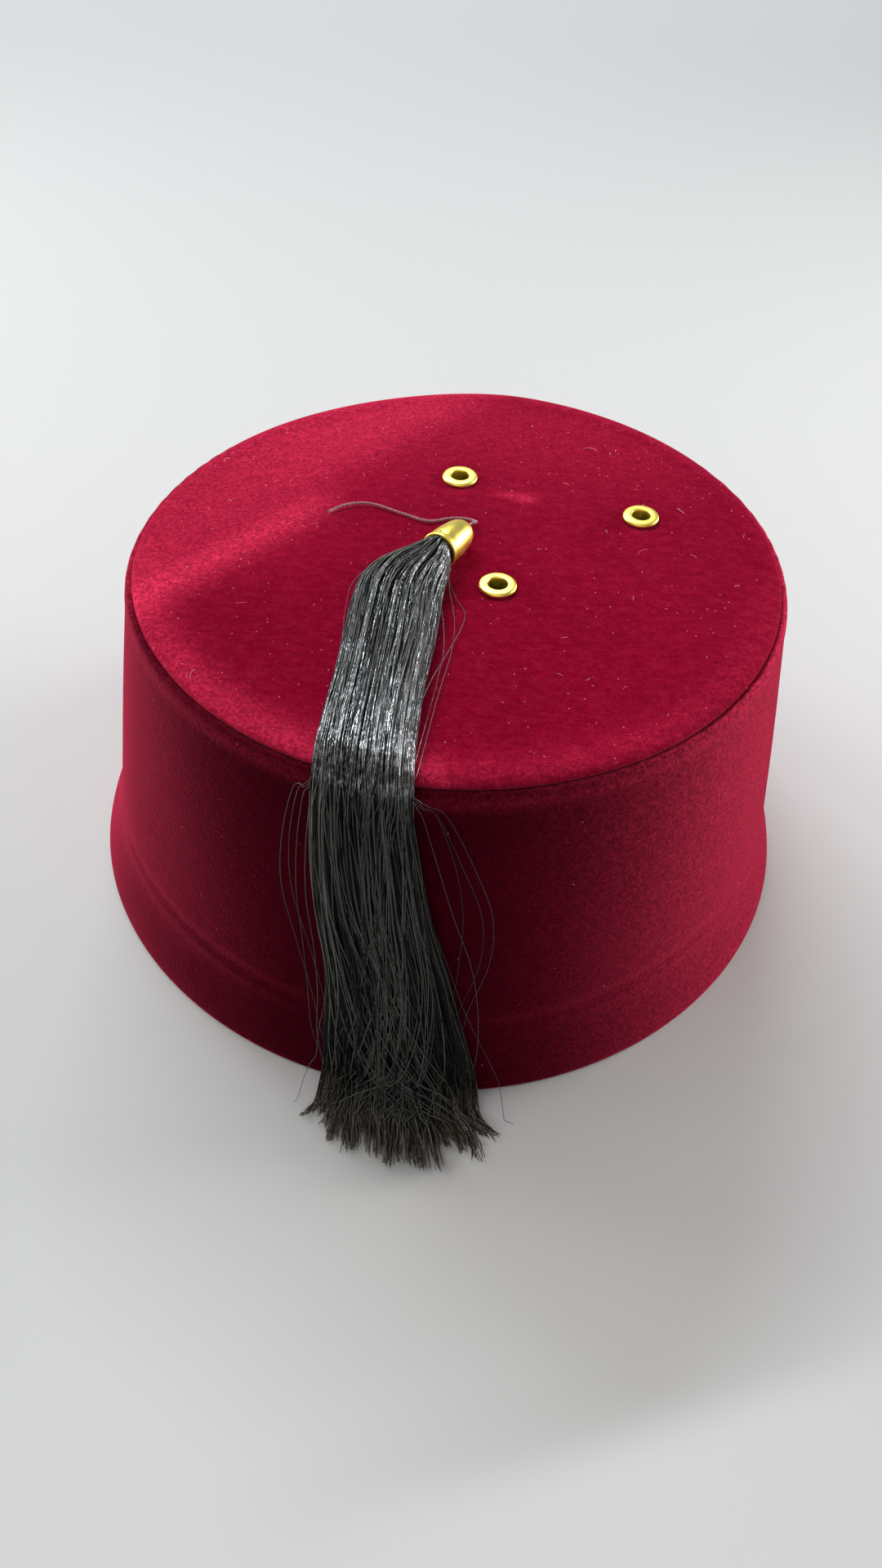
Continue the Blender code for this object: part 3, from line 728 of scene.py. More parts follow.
def velvet(name, colour, painted_sheen_and_spots, dark_share, lint_share, sheen, streak_share):
    """Pile velvet: patches that lie apart, painted sheen and paler spots, grain in the tips and a bright edge."""
    material, shader, surface = new_material(
        name, Roughness=0.9, Specular_IOR_Level=0.01, Sheen_Weight=sheen, Sheen_Roughness=0.22,
        Sheen_Tint=SHEEN_TINT,
    )
    pile = shader.add("ShaderNodeGroup", node_tree=pile_group())
    pile.inputs["Lint share"].default_value = lint_share
    dark = tuple(channel * dark_share for channel in colour)
    body = shader.blend(pile.outputs["Patches"], dark, colour)
    grain = shader.span(pile.outputs["Grain"], 0.72, 0.98)
    streaked = shader.calc("MULTIPLY", pile.outputs["Streaks"], streak_share)
    speckled = shader.calc("ADD", shader.calc("MULTIPLY", grain, 0.6), 0.42)
    # Painted sheen: where the mask is up, speckled by the grain, the pile is mixed towards the paler colour that
    # stands for light caught by its tips
    lighter = shader.calc("MULTIPLY", shader.share("painted_sheen_and_spots"), speckled)
    raised = shader.add("ShaderNodeClamp")
    shader.join(shader.calc("ADD", streaked, lighter), raised.inputs["Value"])
    body = shader.blend(raised.outputs["Result"], body, painted_sheen_and_spots)
    body = shader.blend(shader.calc("MULTIPLY", pile.outputs["Lint"], 0.7), body, LINT_SPECK)
    shade = shader.span(pile.outputs["Grain"], 0.60, 1.02, 0.72, 1.22)
    shader.join(shader.blend(1.0, body, shade, "MULTIPLY"), surface.inputs["Base Color"])
    shader.bump(pile.outputs["Grain"], surface.inputs["Normal"], strength=0.55, distance=0.0006)
    return material


def polished_gold(name, colour):
    """Plated gold with faint cloudiness and fine rubbing marks."""
    material, shader, surface = new_material(name, Metallic=1.0)
    place = shader.place()
    cloud = shader.noise(place, scale=420, detail=3, rough=0.55)
    shader.join(shader.span(cloud, 0.3, 0.7, 0.30, 0.42), surface.inputs["Roughness"])
    warm = tuple(channel * share for channel, share in zip(colour, (0.92, 0.84, 0.62)))
    shader.join(shader.blend(shader.span(cloud, 0.35, 0.75), colour, warm), surface.inputs["Base Color"])
    stretched = shader.add("ShaderNodeMapping")
    stretched.inputs["Scale"].default_value = (1.0, 6.0, 1.0)
    shader.join(place, stretched.inputs["Vector"])
    marks = shader.noise(stretched.outputs["Vector"], scale=2400, detail=2, rough=0.5)
    shader.bump(marks, surface.inputs["Normal"], strength=0.10, distance=0.0001)
    return material


def rayon(name, colour, tip_colour):
    """Black strands, each a little different in tone, the loose ones paler as a painted highlight, with a lustre where
    they lie flat and browner cut ends.
    """
    material, shader, surface = new_material(
        name, Specular_IOR_Level=0.20, Coat_Roughness=0.14, Coat_IOR=3.6, Coat_Tint=LUSTRE_TINT
    )
    pale = tuple(min(1.0, channel + light) for channel, light in zip(colour, PALE_AND_LIT_STRAND))
    body = shader.blend(shader.share("tone_and_highlight"), colour, pale)
    shader.join(shader.blend(shader.share("tip"), body, tip_colour), surface.inputs["Base Color"])
    place = shader.place()
    glints = shader.span(shader.noise(place, scale=650, detail=3, rough=0.6), 0.3, 0.7, 0.05, 0.18)
    dull = shader.calc("MULTIPLY", shader.share("dull"), 0.38)
    shader.join(shader.calc("ADD", glints, dull), surface.inputs["Roughness"])
    sparks = shader.span(shader.noise(place, scale=900, detail=2, rough=0.6), 0.42, 0.64, 0.06, 1.0)
    lustre = shader.calc("MULTIPLY", sparks, shader.share("lustre"))
    shader.join(lustre, surface.inputs["Coat Weight"])
    return material


def thread(name, colour, pale):
    """Twisted thread with paler fibres on its turns."""
    material, shader, surface = new_material(name, Roughness=0.7, Sheen_Weight=0.5)
    fibres = shader.noise(shader.place(), scale=2600, detail=3, rough=0.6)
    paler = shader.blend(shader.span(fibres, 0.42, 0.72), colour, pale)
    shader.join(paler, surface.inputs["Base Color"])
    shader.bump(fibres, surface.inputs["Normal"], strength=0.5, distance=0.0002)
    return material


def lint_fibre(name):
    """Loose fibres, from pink to a paler pink."""
    material, shader, surface = new_material(name, Roughness=0.8)
    tint = shader.noise(shader.place(), scale=60, detail=1, rough=0.5)
    shader.join(shader.blend(shader.span(tint, 0.4, 0.6), *LINT_FIBRES), surface.inputs["Base Color"])
    return material


def pale_floor(name, colour):
    """A plain matt floor with hardly any unevenness."""
    material, shader, surface = new_material(name, Roughness=0.85, Specular_IOR_Level=0.2)
    shade = tuple(channel * 0.985 for channel in colour)
    place = shader.place()
    wide = shader.noise(place, scale=3.0, detail=2, rough=0.5)
    shader.join(shader.blend(wide, shade, colour), surface.inputs["Base Color"])
    grain = shader.noise(place, scale=900, detail=2, rough=0.5)
    shader.bump(grain, surface.inputs["Normal"], strength=0.03, distance=0.0005)
    return material


def seam_puckers(angle):
    """Small uneven gathers along the seam of the top, from -1 to 1."""
    return np.sin(PUCKER_COUNT * angle + 3 * np.sin(5 * angle))


def wall_swell(angle, height):
    """How far the soft wall stands off its true form: slow waves, the hem's line and seam puckers."""
    share = height / SHOULDER_HEIGHT
    waves = 0.0
    for high, number, start, turn in WALL_WAVES:
        waves = waves + high * np.sin(number * angle + start + turn * share)
    hem = -0.00030 * bump_at(height, HEM_HEIGHT, 0.0011)
    hem = hem + 0.00012 * bump_at(height, HEM_HEIGHT - 0.003, 0.002)
    puckers = 0.00010 * seam_puckers(angle) * bump_at(height, HAT_HEIGHT, 0.007)
    return waves * np.sin(np.pi * np.clip(share, 0, 1)) + hem + puckers


def wall_painted_sheen(angle):
    """Painted sheen on the wall's pile, brighter where the light falls: hardly in front, and less at the back."""
    right = np.mod(angle + math.pi / 2, math.tau)
    side_sheens = []
    for turn, side in zip((right, math.tau - right), PAINTED_WALL_SHEEN):
        most, start, rise, fade_start, fade, fall = side
        degrees = np.degrees(turn)
        side_sheens.append(most * ramp(degrees, start, rise) * (1 - fall * ramp(degrees, fade_start, fade)))
    return np.where(right < math.pi, *side_sheens)


def wall_rows(angle):
    """Rows of points round the wall: soft foot, outside, rolled top edge, ledge and plain inside."""
    rows = []

    def row(radius, height, swell=0.0):
        radius = radius + swell
        rows.append(settled(radius * np.cos(angle), radius * np.sin(angle), height + 0 * angle))

    def foot_row(degrees, radius, width):
        turn = math.radians(degrees)
        row(radius + width * (1 - math.cos(turn)), FOOT_ROUND * (1 - math.sin(turn)))

    heights = np.concatenate([
        np.linspace(FOOT_ROUND, FLARE_HEIGHT, 22)[:-1], np.linspace(FLARE_HEIGHT, SHOULDER_HEIGHT, 44)
    ])
    for degrees in (90, 60, 30):
        foot_row(degrees, wall_radius(0.0, angle), -FOOT_ROUND)
    for height in heights:
        row(wall_radius(height, angle), height, wall_swell(angle, height))
    crest_radius = (SEAM_RADIUS + SHOULDER_RADIUS) / 2
    crest_height = HAT_HEIGHT - CREST_DROP
    outside = (SHOULDER_RADIUS - crest_radius, SHOULDER_HEIGHT)
    inside = (SHOULDER_RADIUS - crest_radius + SEAM_PRESS, crest_height - CREST_DIP)
    for turn in np.radians(np.linspace(0, 180, 19)[1:]):
        out, up = math.cos(turn), math.sin(turn)
        reach, base = outside if out > 0 else inside
        puckers = 0.00012 * seam_puckers(angle) * up
        row(crest_radius + reach * out, mix(base, crest_height, up) + puckers)
    ledge = HAT_HEIGHT - PANEL_THICKNESS - GAP
    row(SEAM_RADIUS, ledge)
    row(SEAM_RADIUS - LEDGE_WIDTH, ledge)
    row(SEAM_RADIUS - LEDGE_WIDTH, ledge - WALL)
    row(SHOULDER_RADIUS - WALL, SHOULDER_HEIGHT - WALL)
    for height in heights[::-3]:
        if height < SHOULDER_HEIGHT - WALL:
            row(wall_radius(height, angle) - WALL, height, wall_swell(angle, height) * INNER_SWELL)
    for degrees in (30, 60, 90):
        foot_row(degrees, wall_radius(0.0, angle) - WALL, FOOT_ROUND * 0.9)
    return np.stack(rows)


def make_wall(material):
    """The wall as one closed shell, with painted sheen on its pile at each point: towards the sides, lighter towards
    the top, along the rolled top edge and just above the hem.
    """
    angle = circle(CROWN_SEGMENTS)
    points = wall_rows(angle)
    height = points[..., 2]
    # Painted sheen, lighter towards the top, with painted highlights along the rolled top edge and just above the hem
    painted_sheen_and_spots = wall_painted_sheen(angle)[None, :] * mix(0.75, 1.0, smooth(height / HAT_HEIGHT))
    painted_sheen_and_spots = painted_sheen_and_spots + 0.16 * bump_at(height, HAT_HEIGHT - 0.002, 0.0022)
    painted_sheen_and_spots = painted_sheen_and_spots + 0.05 * bump_at(height, HEM_HEIGHT + 0.001, 0.0018)
    return make_mesh(
        "velvet_wall", points, ring_faces(*points.shape[:2], True), material, {"painted_sheen_and_spots": painted_sheen_and_spots}
    )


def panel_swell(x, y):
    """Soft lift and dimples of the top: puckers by each eyelet, a lip at the rim and slow waves."""
    lift = 0.00022 * np.sin(52 * x + 1.0) * np.sin(61 * y + 0.4)
    radius = np.hypot(x, y)
    angle = np.arctan2(y, x)
    lip = bump_at(radius, PANEL_RADIUS - 0.0035, 0.0022)
    lift = lift + lip * (0.00030 + 0.00012 * np.sin(64 * angle + 2 * np.sin(7 * angle)))
    for place in EYELET_PLACES.values():
        away = np.hypot(x - place[0], y - place[1])
        lift = lift - 0.00035 * bump_at(away, EYELET_FLANGE * 0.9, 0.0022)
        lift = lift - 0.00025 * (away < EYELET_FLANGE * 0.9)
    return lift * smooth((PANEL_RADIUS - radius) / 0.002)


def panel_painted_sheen_and_spots(x, y):
    """Painted sheen on the top's pile: a highlight along the dent's ridge, lighter pile behind it and towards the
    back, a highlight along the front rim, most to the left, and paler spots.
    """
    towards = x * math.cos(DENT_DIRECTION) + y * math.sin(DENT_DIRECTION)
    across = y * math.cos(DENT_DIRECTION) - x * math.sin(DENT_DIRECTION)
    # Painted highlights along the dent's ridge and the front rim, painted sheen on the slope behind the ridge and
    # towards the back
    ridge = 0.75 * bump_at(towards, DENT_START + 0.002, 0.006) * ramp(across, -0.004, 0.022)
    slope = 0.42 * ramp(towards, DENT_START, 0.018) + 0.16 * ramp(y, 0.01, 0.06)
    radius = np.hypot(x, y)
    angle = np.arctan2(y, x)
    front = np.clip(-np.sin(angle), 0, 1) ** 0.5 * np.where(x > 0, 0.35, 1.0)
    rim = 0.65 * front * bump_at(radius, PANEL_RADIUS - 0.002, 0.0060)
    lighter = 0.0
    for spot_x, spot_y, wide, deep in PALE_SPOTS:
        lighter = lighter + 0.6 * np.exp(-(((x - spot_x) / wide) ** 2) - ((y - spot_y) / deep) ** 2)
    return np.clip(ridge + slope + rim + lighter, 0, 1)


def make_panel(material):
    """The top as one closed disc with a soft rounded rim and a hole through it at each eyelet."""
    angle = circle(CROWN_SEGMENTS)
    radii = list(np.linspace(0.0012, PANEL_RADIUS - PANEL_EDGE, 66))
    line = [(radius, 0.0) for radius in radii]
    for turn in np.radians(np.linspace(90, 0, 8)[1:]):
        reach = PANEL_EDGE * (math.cos(turn) - 1) + SEAM_PRESS * math.cos(turn)
        line.append((PANEL_RADIUS + reach, PANEL_EDGE * 0.75 * (1 - math.sin(turn))))
    line.append((PANEL_RADIUS, PANEL_THICKNESS))
    line += [(radius, PANEL_THICKNESS) for radius in radii[::-6]]
    rows = []
    for radius, drop in line:
        x, y = radius * np.cos(angle), radius * np.sin(angle)
        rows.append(settled(x, y, HAT_HEIGHT - drop + panel_swell(x, y)))
    points = np.stack(rows)
    faces = [face[::-1] for face in ring_faces(*points.shape[:2], False)]
    last = (len(points) - 1) * CROWN_SEGMENTS
    count = last + CROWN_SEGMENTS
    for i in range(CROWN_SEGMENTS):
        faces.append((i, (i + 1) % CROWN_SEGMENTS, count))
    for i in range(CROWN_SEGMENTS):
        faces.append((last + (i + 1) % CROWN_SEGMENTS, last + i, count + 1))
    heights = (HAT_HEIGHT, HAT_HEIGHT - PANEL_THICKNESS)
    middles = [settled(np.zeros(1), np.zeros(1), np.full(1, height)) for height in heights]
    flat = np.concatenate([points.reshape(-1, 3), *middles])
    painted_sheen_and_spots = panel_painted_sheen_and_spots(flat[:, 0] - LEAN, flat[:, 1] - AXIS.y)
    panel = make_mesh("velvet_top", flat, faces, material, {"painted_sheen_and_spots": painted_sheen_and_spots})
    for name, (x, y) in EYELET_PLACES.items():
        bore_eyelet(panel, name, x, y)
    return panel


def bore_eyelet(panel, name, x, y):
    """Cuts the eyelet's hole through the panel for good, and drops the cutter."""
    turn = circle(BORE_SIDES)
    radius = EYELET_HOLE + BORE_CLEARANCE
    ring_x, ring_y = x + radius * np.cos(turn), y + radius * np.sin(turn)
    points = np.concatenate([on_top(ring_x, ring_y, up) for up in (BORE_REACH, -BORE_REACH)])
    top, foot = list(range(BORE_SIDES)), list(range(BORE_SIDES, 2 * BORE_SIDES))
    faces = [face[::-1] for face in zip(top, top[1:] + top[:1], foot[1:] + foot[:1], foot)]
    faces += [top, foot[::-1]]
    cutter = make_mesh(name + "_bore", points, faces, panel.data.materials[0])
    cut = panel.modifiers.new(name, "BOOLEAN")
    cut.operation = "DIFFERENCE"
    cut.object = cutter
    graph = bpy.context.evaluated_depsgraph_get()
    bored = bpy.data.meshes.new_from_object(panel.evaluated_get(graph))
    panel.modifiers.clear()
    panel.data = bored
    bpy.data.objects.remove(cutter)


def turned(name, line, place, segments, material):
    """A closed (radius, height) line turned round local Z and put in place by a matrix."""
    line = np.array(line)
    angle = circle(segments)
    x = line[:, 0][None, :] * np.cos(angle)[:, None]
    y = line[:, 0][None, :] * np.sin(angle)[:, None]
    z = np.broadcast_to(line[:, 1], x.shape)
    points = moved(np.stack([x, y, z], axis=-1), place)
    faces = [face[::-1] for face in ring_faces(segments, len(line), True)]
    return make_mesh(name, points, faces, material)


def closed_curve(points, steps):
    """A closed line smoothed through its points, as (radius, height) pairs."""
    loop = np.array([(*point, 0.0) for point in points])
    wrapped = np.concatenate([loop[-2:], loop, loop[:3]])
    line = smooth_line(wrapped, steps)
    return line[2 * steps : (2 + len(points)) * steps, :2]


def eyelet_line():
    """Section of an eyelet: domed washer, rolled lip into the hole, barrel and rolled back."""
    back = -PANEL_THICKNESS - GAP
    face = EYELET_FLANGE - EYELET_HOLE
    points = (
        (EYELET_HOLE, -0.0002),
        (EYELET_HOLE + face * 0.03, GAP + EYELET_RISE * 0.60),
        (EYELET_HOLE + face * 0.13, GAP + EYELET_RISE * 0.96),
        (EYELET_HOLE + face * 0.45, GAP + EYELET_RISE * 0.98),
        (EYELET_HOLE + face * 0.80, GAP + EYELET_RISE * 0.88),
        (EYELET_HOLE + face * 0.96, GAP + EYELET_RISE * 0.52),
        (EYELET_FLANGE, GAP * 0.6),
        (EYELET_FLANGE - 0.0003, 0.0),
        (EYELET_HOLE + 0.0004, -0.0004),
        (EYELET_HOLE + 0.00035, back),
        (EYELET_HOLE + 0.0014, back - 0.0001),
        (EYELET_HOLE + 0.0012, back - 0.0005),
        (EYELET_HOLE + 0.0003, back - 0.0006),
        (EYELET_HOLE, back),
    )
    return closed_curve(points, 4)


def cap_direction():
    """From the mouth of the cap to its closed end, in the top face's axes."""
    level = math.cos(CAP_DIP)
    return Vector((math.cos(CAP_TURN) * level, math.sin(CAP_TURN) * level, -math.sin(CAP_DIP)))


def cap_matrix():
    """Places the bell, which is turned round Z from its mouth, on the top."""
    turn = cap_direction().to_track_quat("Z", "Y").to_matrix().to_4x4()
    return TOP_PLACE @ Matrix.Translation(CAP_MOUTH_MIDDLE) @ turn


def cap_line():
    """Section of the bell: beaded lip, narrow groove, swelling body, round shoulder and cord hole."""
    shape = (
        (0.000, 0.955), (0.020, 0.995), (0.055, 1.000), (0.085, 0.965), (0.115, 0.925),
        (0.160, 0.930), (0.240, 0.955), (0.400, 0.935), (0.550, 0.895), (0.700, 0.830),
        (0.800, 0.765), (0.880, 0.670), (0.940, 0.540), (0.975, 0.410), (0.990, 0.280),
    )
    points = [(CAP_MOUTH * radius, CAP_LENGTH * along) for along, radius in shape]
    points += [
        (CAP_CORD_HOLE + 0.0002, CAP_LENGTH),
        (CAP_CORD_HOLE, CAP_LENGTH - 0.0003),
        (CAP_CORD_HOLE + 0.0002, CAP_LENGTH - CAP_SHELL),
        (CAP_MOUTH * 0.60 - CAP_SHELL, CAP_LENGTH * 0.90 - CAP_SHELL / 2),
        (CAP_MOUTH * 0.85 - CAP_SHELL, CAP_LENGTH * 0.55),
        (CAP_THROAT, CAP_LENGTH * 0.20),
        (CAP_MOUTH * 0.925 - CAP_SHELL * 0.7, CAP_LENGTH * 0.02),
    ]
    return closed_curve(points, 3)


def lock_of(step):
    """The lock that holds each share of the way across the fringe."""
    return np.clip(np.searchsorted(LOCK_EDGES, step, side="right") - 1, 0, len(LOCK_EDGES) - 2)


class Station:
    """One section of the fringe. place turns (side, height) arrays into points.

    side runs from -1 to 1 across the fringe, and height is in metres off what it lies on.
    """

    def __init__(self, place, thickness, roundness, locks):
        self.place = place
        self.thickness = thickness
        self.roundness = roundness
        self.locks = locks

    def strand(self, side, share):
        """A point of each strand: share 0 is the underside and 1 the outer face of its lock."""
        inside = np.clip(1 - np.abs(side) ** self.roundness, 0, 1) ** (1 / self.roundness) / 2
        step = (np.clip(side, -1, 1) + 1) / 2
        lock = lock_of(step)
        edges = np.array(LOCK_EDGES)
        within = (step - edges[lock]) / (edges[lock + 1] - edges[lock])
        roof = 0.5 + inside * (1 - self.locks * 1.6 * (2 * within - 1) ** 2)
        floor = 0.5 - inside
        return self.place(side, self.thickness * mix(floor, roof, share))


def head_stations():
    """Sections inside the cap, out to its mouth."""
    inwards = cap_direction()
    across = Vector((inwards.y, -inwards.x, 0)).normalized()
    up = across.cross(inwards)
    for depth, share in ((1.0, 0.80), (0.5, 0.94), (0.0, 1.0)):
        middle = np.array(CAP_MOUTH_MIDDLE + inwards * FRINGE_HEAD_DEPTH * depth)
        reach = (CAP_THROAT - GAP) * share

        def place(side, height, middle=middle, reach=reach):
            local = middle + np.outer(side * reach, across) + np.outer(height - reach, up)
            return on_top(local[:, 0], local[:, 1], local[:, 2])

        yield Station(place, 2 * reach, 2.0, 0.03)


def over_top_stations():
    """Sections that lie on the top, from the cap to the front edge."""
    for run, aside, width, thickness, slant, lift, locks in OVER_TOP:
        middle = mix(CAP_PLACE[0], FRINGE_EDGE_X, aside)
        forward = mix(-CAP_PLACE[1], EDGE_START, run)
        lifted = GAP + lift * CAP_MOUTH * 0.5

        def place(side, height, middle=middle, forward=forward, run=run, width=width, slant=slant,
                  lifted=lifted):
            shift = side * width * FRINGE_HALF_WIDTH
            x = middle + shift
            y = -np.sqrt(forward**2 - (run * x) ** 2) + slant * shift
            return on_top(x, y, lifted + height)

        yield Station(place, thickness * FRINGE_THICKNESS, 2.4, locks)


def hanging_station(distance, height, normal, middle, half_width, thickness, locks):
    """A section that follows the round wall. normal points off the wall, as (outwards, up)."""

    def place(side, off):
        x = middle + side * half_width
        out = distance + normal[0] * off
        return settled(x, -np.sqrt(out**2 - x**2), height + normal[1] * off)

    return Station(place, thickness, 2.6, locks)


def over_edge_stations():
    """Sections that turn over the soft shoulder, a quarter of an ellipse."""
    drop = SHOULDER_DROP + EDGE_CLEARANCE
    span = SHOULDER_RADIUS + EDGE_CLEARANCE - EDGE_START
    rise = drop + GAP
    for degrees in (5, 26, 46, 66, 88):
        out, up = math.sin(math.radians(degrees)), math.cos(math.radians(degrees))
        steep = math.hypot(rise * out, span * up)
        yield hanging_station(
            EDGE_START + span * out, HAT_HEIGHT - drop + rise * up,
            (rise * out / steep, span * up / steep), FRINGE_EDGE_X,
            FRINGE_HALF_WIDTH * mix(1.0, 1.06, degrees / 90), FRINGE_THICKNESS, 0.24,
        )


def down_wall_stations():
    """Sections that hang down the front of the wall."""
    slope = math.atan((RIM_RADIUS - SHOULDER_RADIUS) / SHOULDER_HEIGHT)
    for share, aside, width, thickness, clear, locks in DOWN_WALL:
        height = share * SHOULDER_HEIGHT
        yield hanging_station(
            wall_radius(height, -math.pi / 2) + GAP + clear, height,
            (math.cos(slope), math.sin(slope)), mix(FRINGE_EDGE_X, FRINGE_FOOT_X, aside),
            mix(FRINGE_HALF_WIDTH, FRINGE_FOOT_HALF_WIDTH, width),
            thickness * FRINGE_THICKNESS, locks,
        )


def foot_stations():
    """Sections that bend from the wall onto the floor, and the one before the tips."""
    start = wall_radius(FOOT_BEND, -math.pi / 2) + 3 * GAP
    for degrees in (4, 30, 55, 78, 90):
        turn = math.radians(degrees)
        share = degrees / 90
        yield hanging_station(
            start + FOOT_BEND * (1 - math.cos(turn)), FOOT_BEND * (1 - math.sin(turn)),
            (math.cos(turn), math.sin(turn)), FRINGE_FOOT_X,
            FRINGE_FOOT_HALF_WIDTH * mix(0.90, 1.0, share),
            FRINGE_THICKNESS * mix(0.78, 0.56, share), 0.36,
        )
    yield hanging_station(
        FRINGE_REACH - FRINGE_LAY, 0.0, (0.0, 1.0), mix(FRINGE_FOOT_X, FRINGE_TIP_X, 0.4),
        mix(FRINGE_FOOT_HALF_WIDTH, FRINGE_TIP_HALF_WIDTH, 0.35), FRINGE_THICKNESS * 0.5, 0.40,
    )


def fringe_course():
    """All sections of the fringe in order, from the cap to the floor."""
    return [
        *head_stations(), *over_top_stations(), *over_edge_stations(), *down_wall_stations(),
        *foot_stations(),
    ]


def shorten(lines, cut):
    """The same lines, each shorter at its end by its own cut, with as many points as before."""
    run = np.cumsum(np.linalg.norm(np.diff(lines, axis=1), axis=-1), axis=1)
    run = np.concatenate([np.zeros((len(lines), 1)), run], axis=1)
    steps = np.linspace(0, 1, lines.shape[1])
    shorter = np.empty_like(lines)
    for i, length in enumerate(run[:, -1] - cut):
        for axis in range(3):
            shorter[i, :, axis] = np.interp(steps * length, run[i], lines[i, :, axis])
    return shorter


def strand_sides(side, steps, chance):
    """Where strands run across the fringe at each section, and which of them cross the others."""
    count = len(side)
    drift = np.zeros((count, len(steps)))
    for waves, reach in DRIFT_WAVES:
        phase = chance.uniform(0, math.tau, (count, 1))
        size = chance.normal(0, reach, (count, 1))
        drift += size * np.sin(phase + math.pi * waves * steps)
    crossing = chance.uniform(0, 1, count) < CROSSING_SHARE
    turn_start = chance.uniform(*CROSSING_START, (count, 1))
    turning = ramp(steps, turn_start, chance.uniform(*CROSSING_LENGTH, (count, 1)))
    across = -np.sign(side) * chance.uniform(0.0, 0.95, count) - side
    drift += (crossing * across)[:, None] * turning
    drift += chance.normal(0, 0.005, drift.shape)
    drift *= ramp(steps, 0, 0.3)
    return np.clip(side[:, None] + drift, -0.99, 0.99), crossing


def strand_shares(share, sides, crossing, steps, chance):
    """How high strands lie in their lock at each section. The ones that cross lie on the others."""
    count = len(share)
    lift = chance.normal(0, 0.10, (count, 1))
    lift = lift * np.sin(chance.uniform(0, math.tau, (count, 1)) + math.tau * 1.5 * steps)
    lift = lift + chance.normal(0, 0.05, lift.shape)
    lift = lift + 0.07 * np.sin(21 * sides + 34 * steps) + 0.06 * np.sin(37 * sides - 47 * steps + 1.3)
    share = np.where(crossing, chance.uniform(1.04, 1.13, count), share)
    return np.clip(share[:, None] + lift * np.where(crossing, 0.3, 1.0)[:, None], 0.03, 1.15)


def strand_ends(side, height, chance):
    """Where strands end on the floor, in ragged tips, by their side and height at the last section."""
    count = len(side)
    gathered = (np.floor((side + 1) * TIP_GROUPS / 2) + 0.5) * 2 / TIP_GROUPS - 1
    group = np.clip(((side + 1) * TIP_GROUPS / 2).astype(int), 0, TIP_GROUPS - 1)
    group_reach = chance.normal(0, 0.0022, TIP_GROUPS)[group]
    group_side = chance.normal(0, 0.035, TIP_GROUPS)[group]
    lock_reach = np.array(LOCK_REACHES)[lock_of((side + 1) / 2)]
    shortest = FRINGE_REACH - FRINGE_LAY
    reach = mix(shortest, FRINGE_REACH, lock_reach) + group_reach
    reach = np.clip(reach, shortest + 0.0015, FRINGE_REACH + 0.0010)
    spread = mix(side, gathered, chance.uniform(0.0, 0.7, count)) + group_side
    x = FRINGE_TIP_X + spread * FRINGE_TIP_HALF_WIDTH + chance.normal(0, 0.0006, count)
    z = 0.00022 + height * chance.uniform(0.05, 0.9, count)
    z += np.minimum(chance.exponential(0.0010, count), 0.0030)
    return np.stack([x, AXIS.y - np.sqrt(reach**2 - x**2), z], axis=1)


def strand_lines(count, chance):
    """Middle lines of the fringe's strands, from inside the cap to their ends, and which cross."""
    course = fringe_course()
    steps = np.linspace(0, 1, len(course))
    side = chance.uniform(-1, 1, count)
    side = np.sign(side) * np.abs(side) ** 0.92
    share = chance.uniform(0, 1, count) ** 0.62
    sides, crossing = strand_sides(side, steps, chance)
    shares = strand_shares(share, sides, crossing, steps, chance)
    points = [station.strand(sides[:, i], shares[:, i]) for i, station in enumerate(course)]
    end = strand_ends(sides[:, -1], points[-1][:, 2], chance)
    for along in (0.5, 1.0):
        tail = mix(points[len(course) - 1], end, along)
        tail[:, 0] += chance.normal(0, 0.00030, count)
        points.append(tail)
    cut = np.minimum(chance.exponential(END_CUT, count), LONGEST_CUT)
    return shorten(smooth_line(np.stack(points, axis=1), 2), cut), crossing


def stray_lines(chance):
    """Strands that have slipped out: loops beside the hanging stretch and by the cap's end."""
    course = fringe_course()
    steps = np.linspace(0, 1, len(course))
    lines = []
    for leave, furthest, rejoin, far, near in STRAY_ROUTES:
        rise = ramp(steps, leave, furthest - leave)
        fall = smooth((rejoin - steps) / (rejoin - furthest)) if rejoin < 1 else 1.0
        side = near + (far - near) * np.minimum(rise, fall)
        side = side + 0.02 * np.sin(9 * steps + chance.uniform(0, math.tau))
        out = np.clip(np.abs(side) - 1, 0, 1)
        points = []
        for i, station in enumerate(course):
            high = station.thickness * 0.35 * (1 - smooth(out[i] / 0.4)) + 0.00035
            points.append(station.place(side[i : i + 1], np.array([high]))[0])
        lines.append(points)
    return np.array(lines)


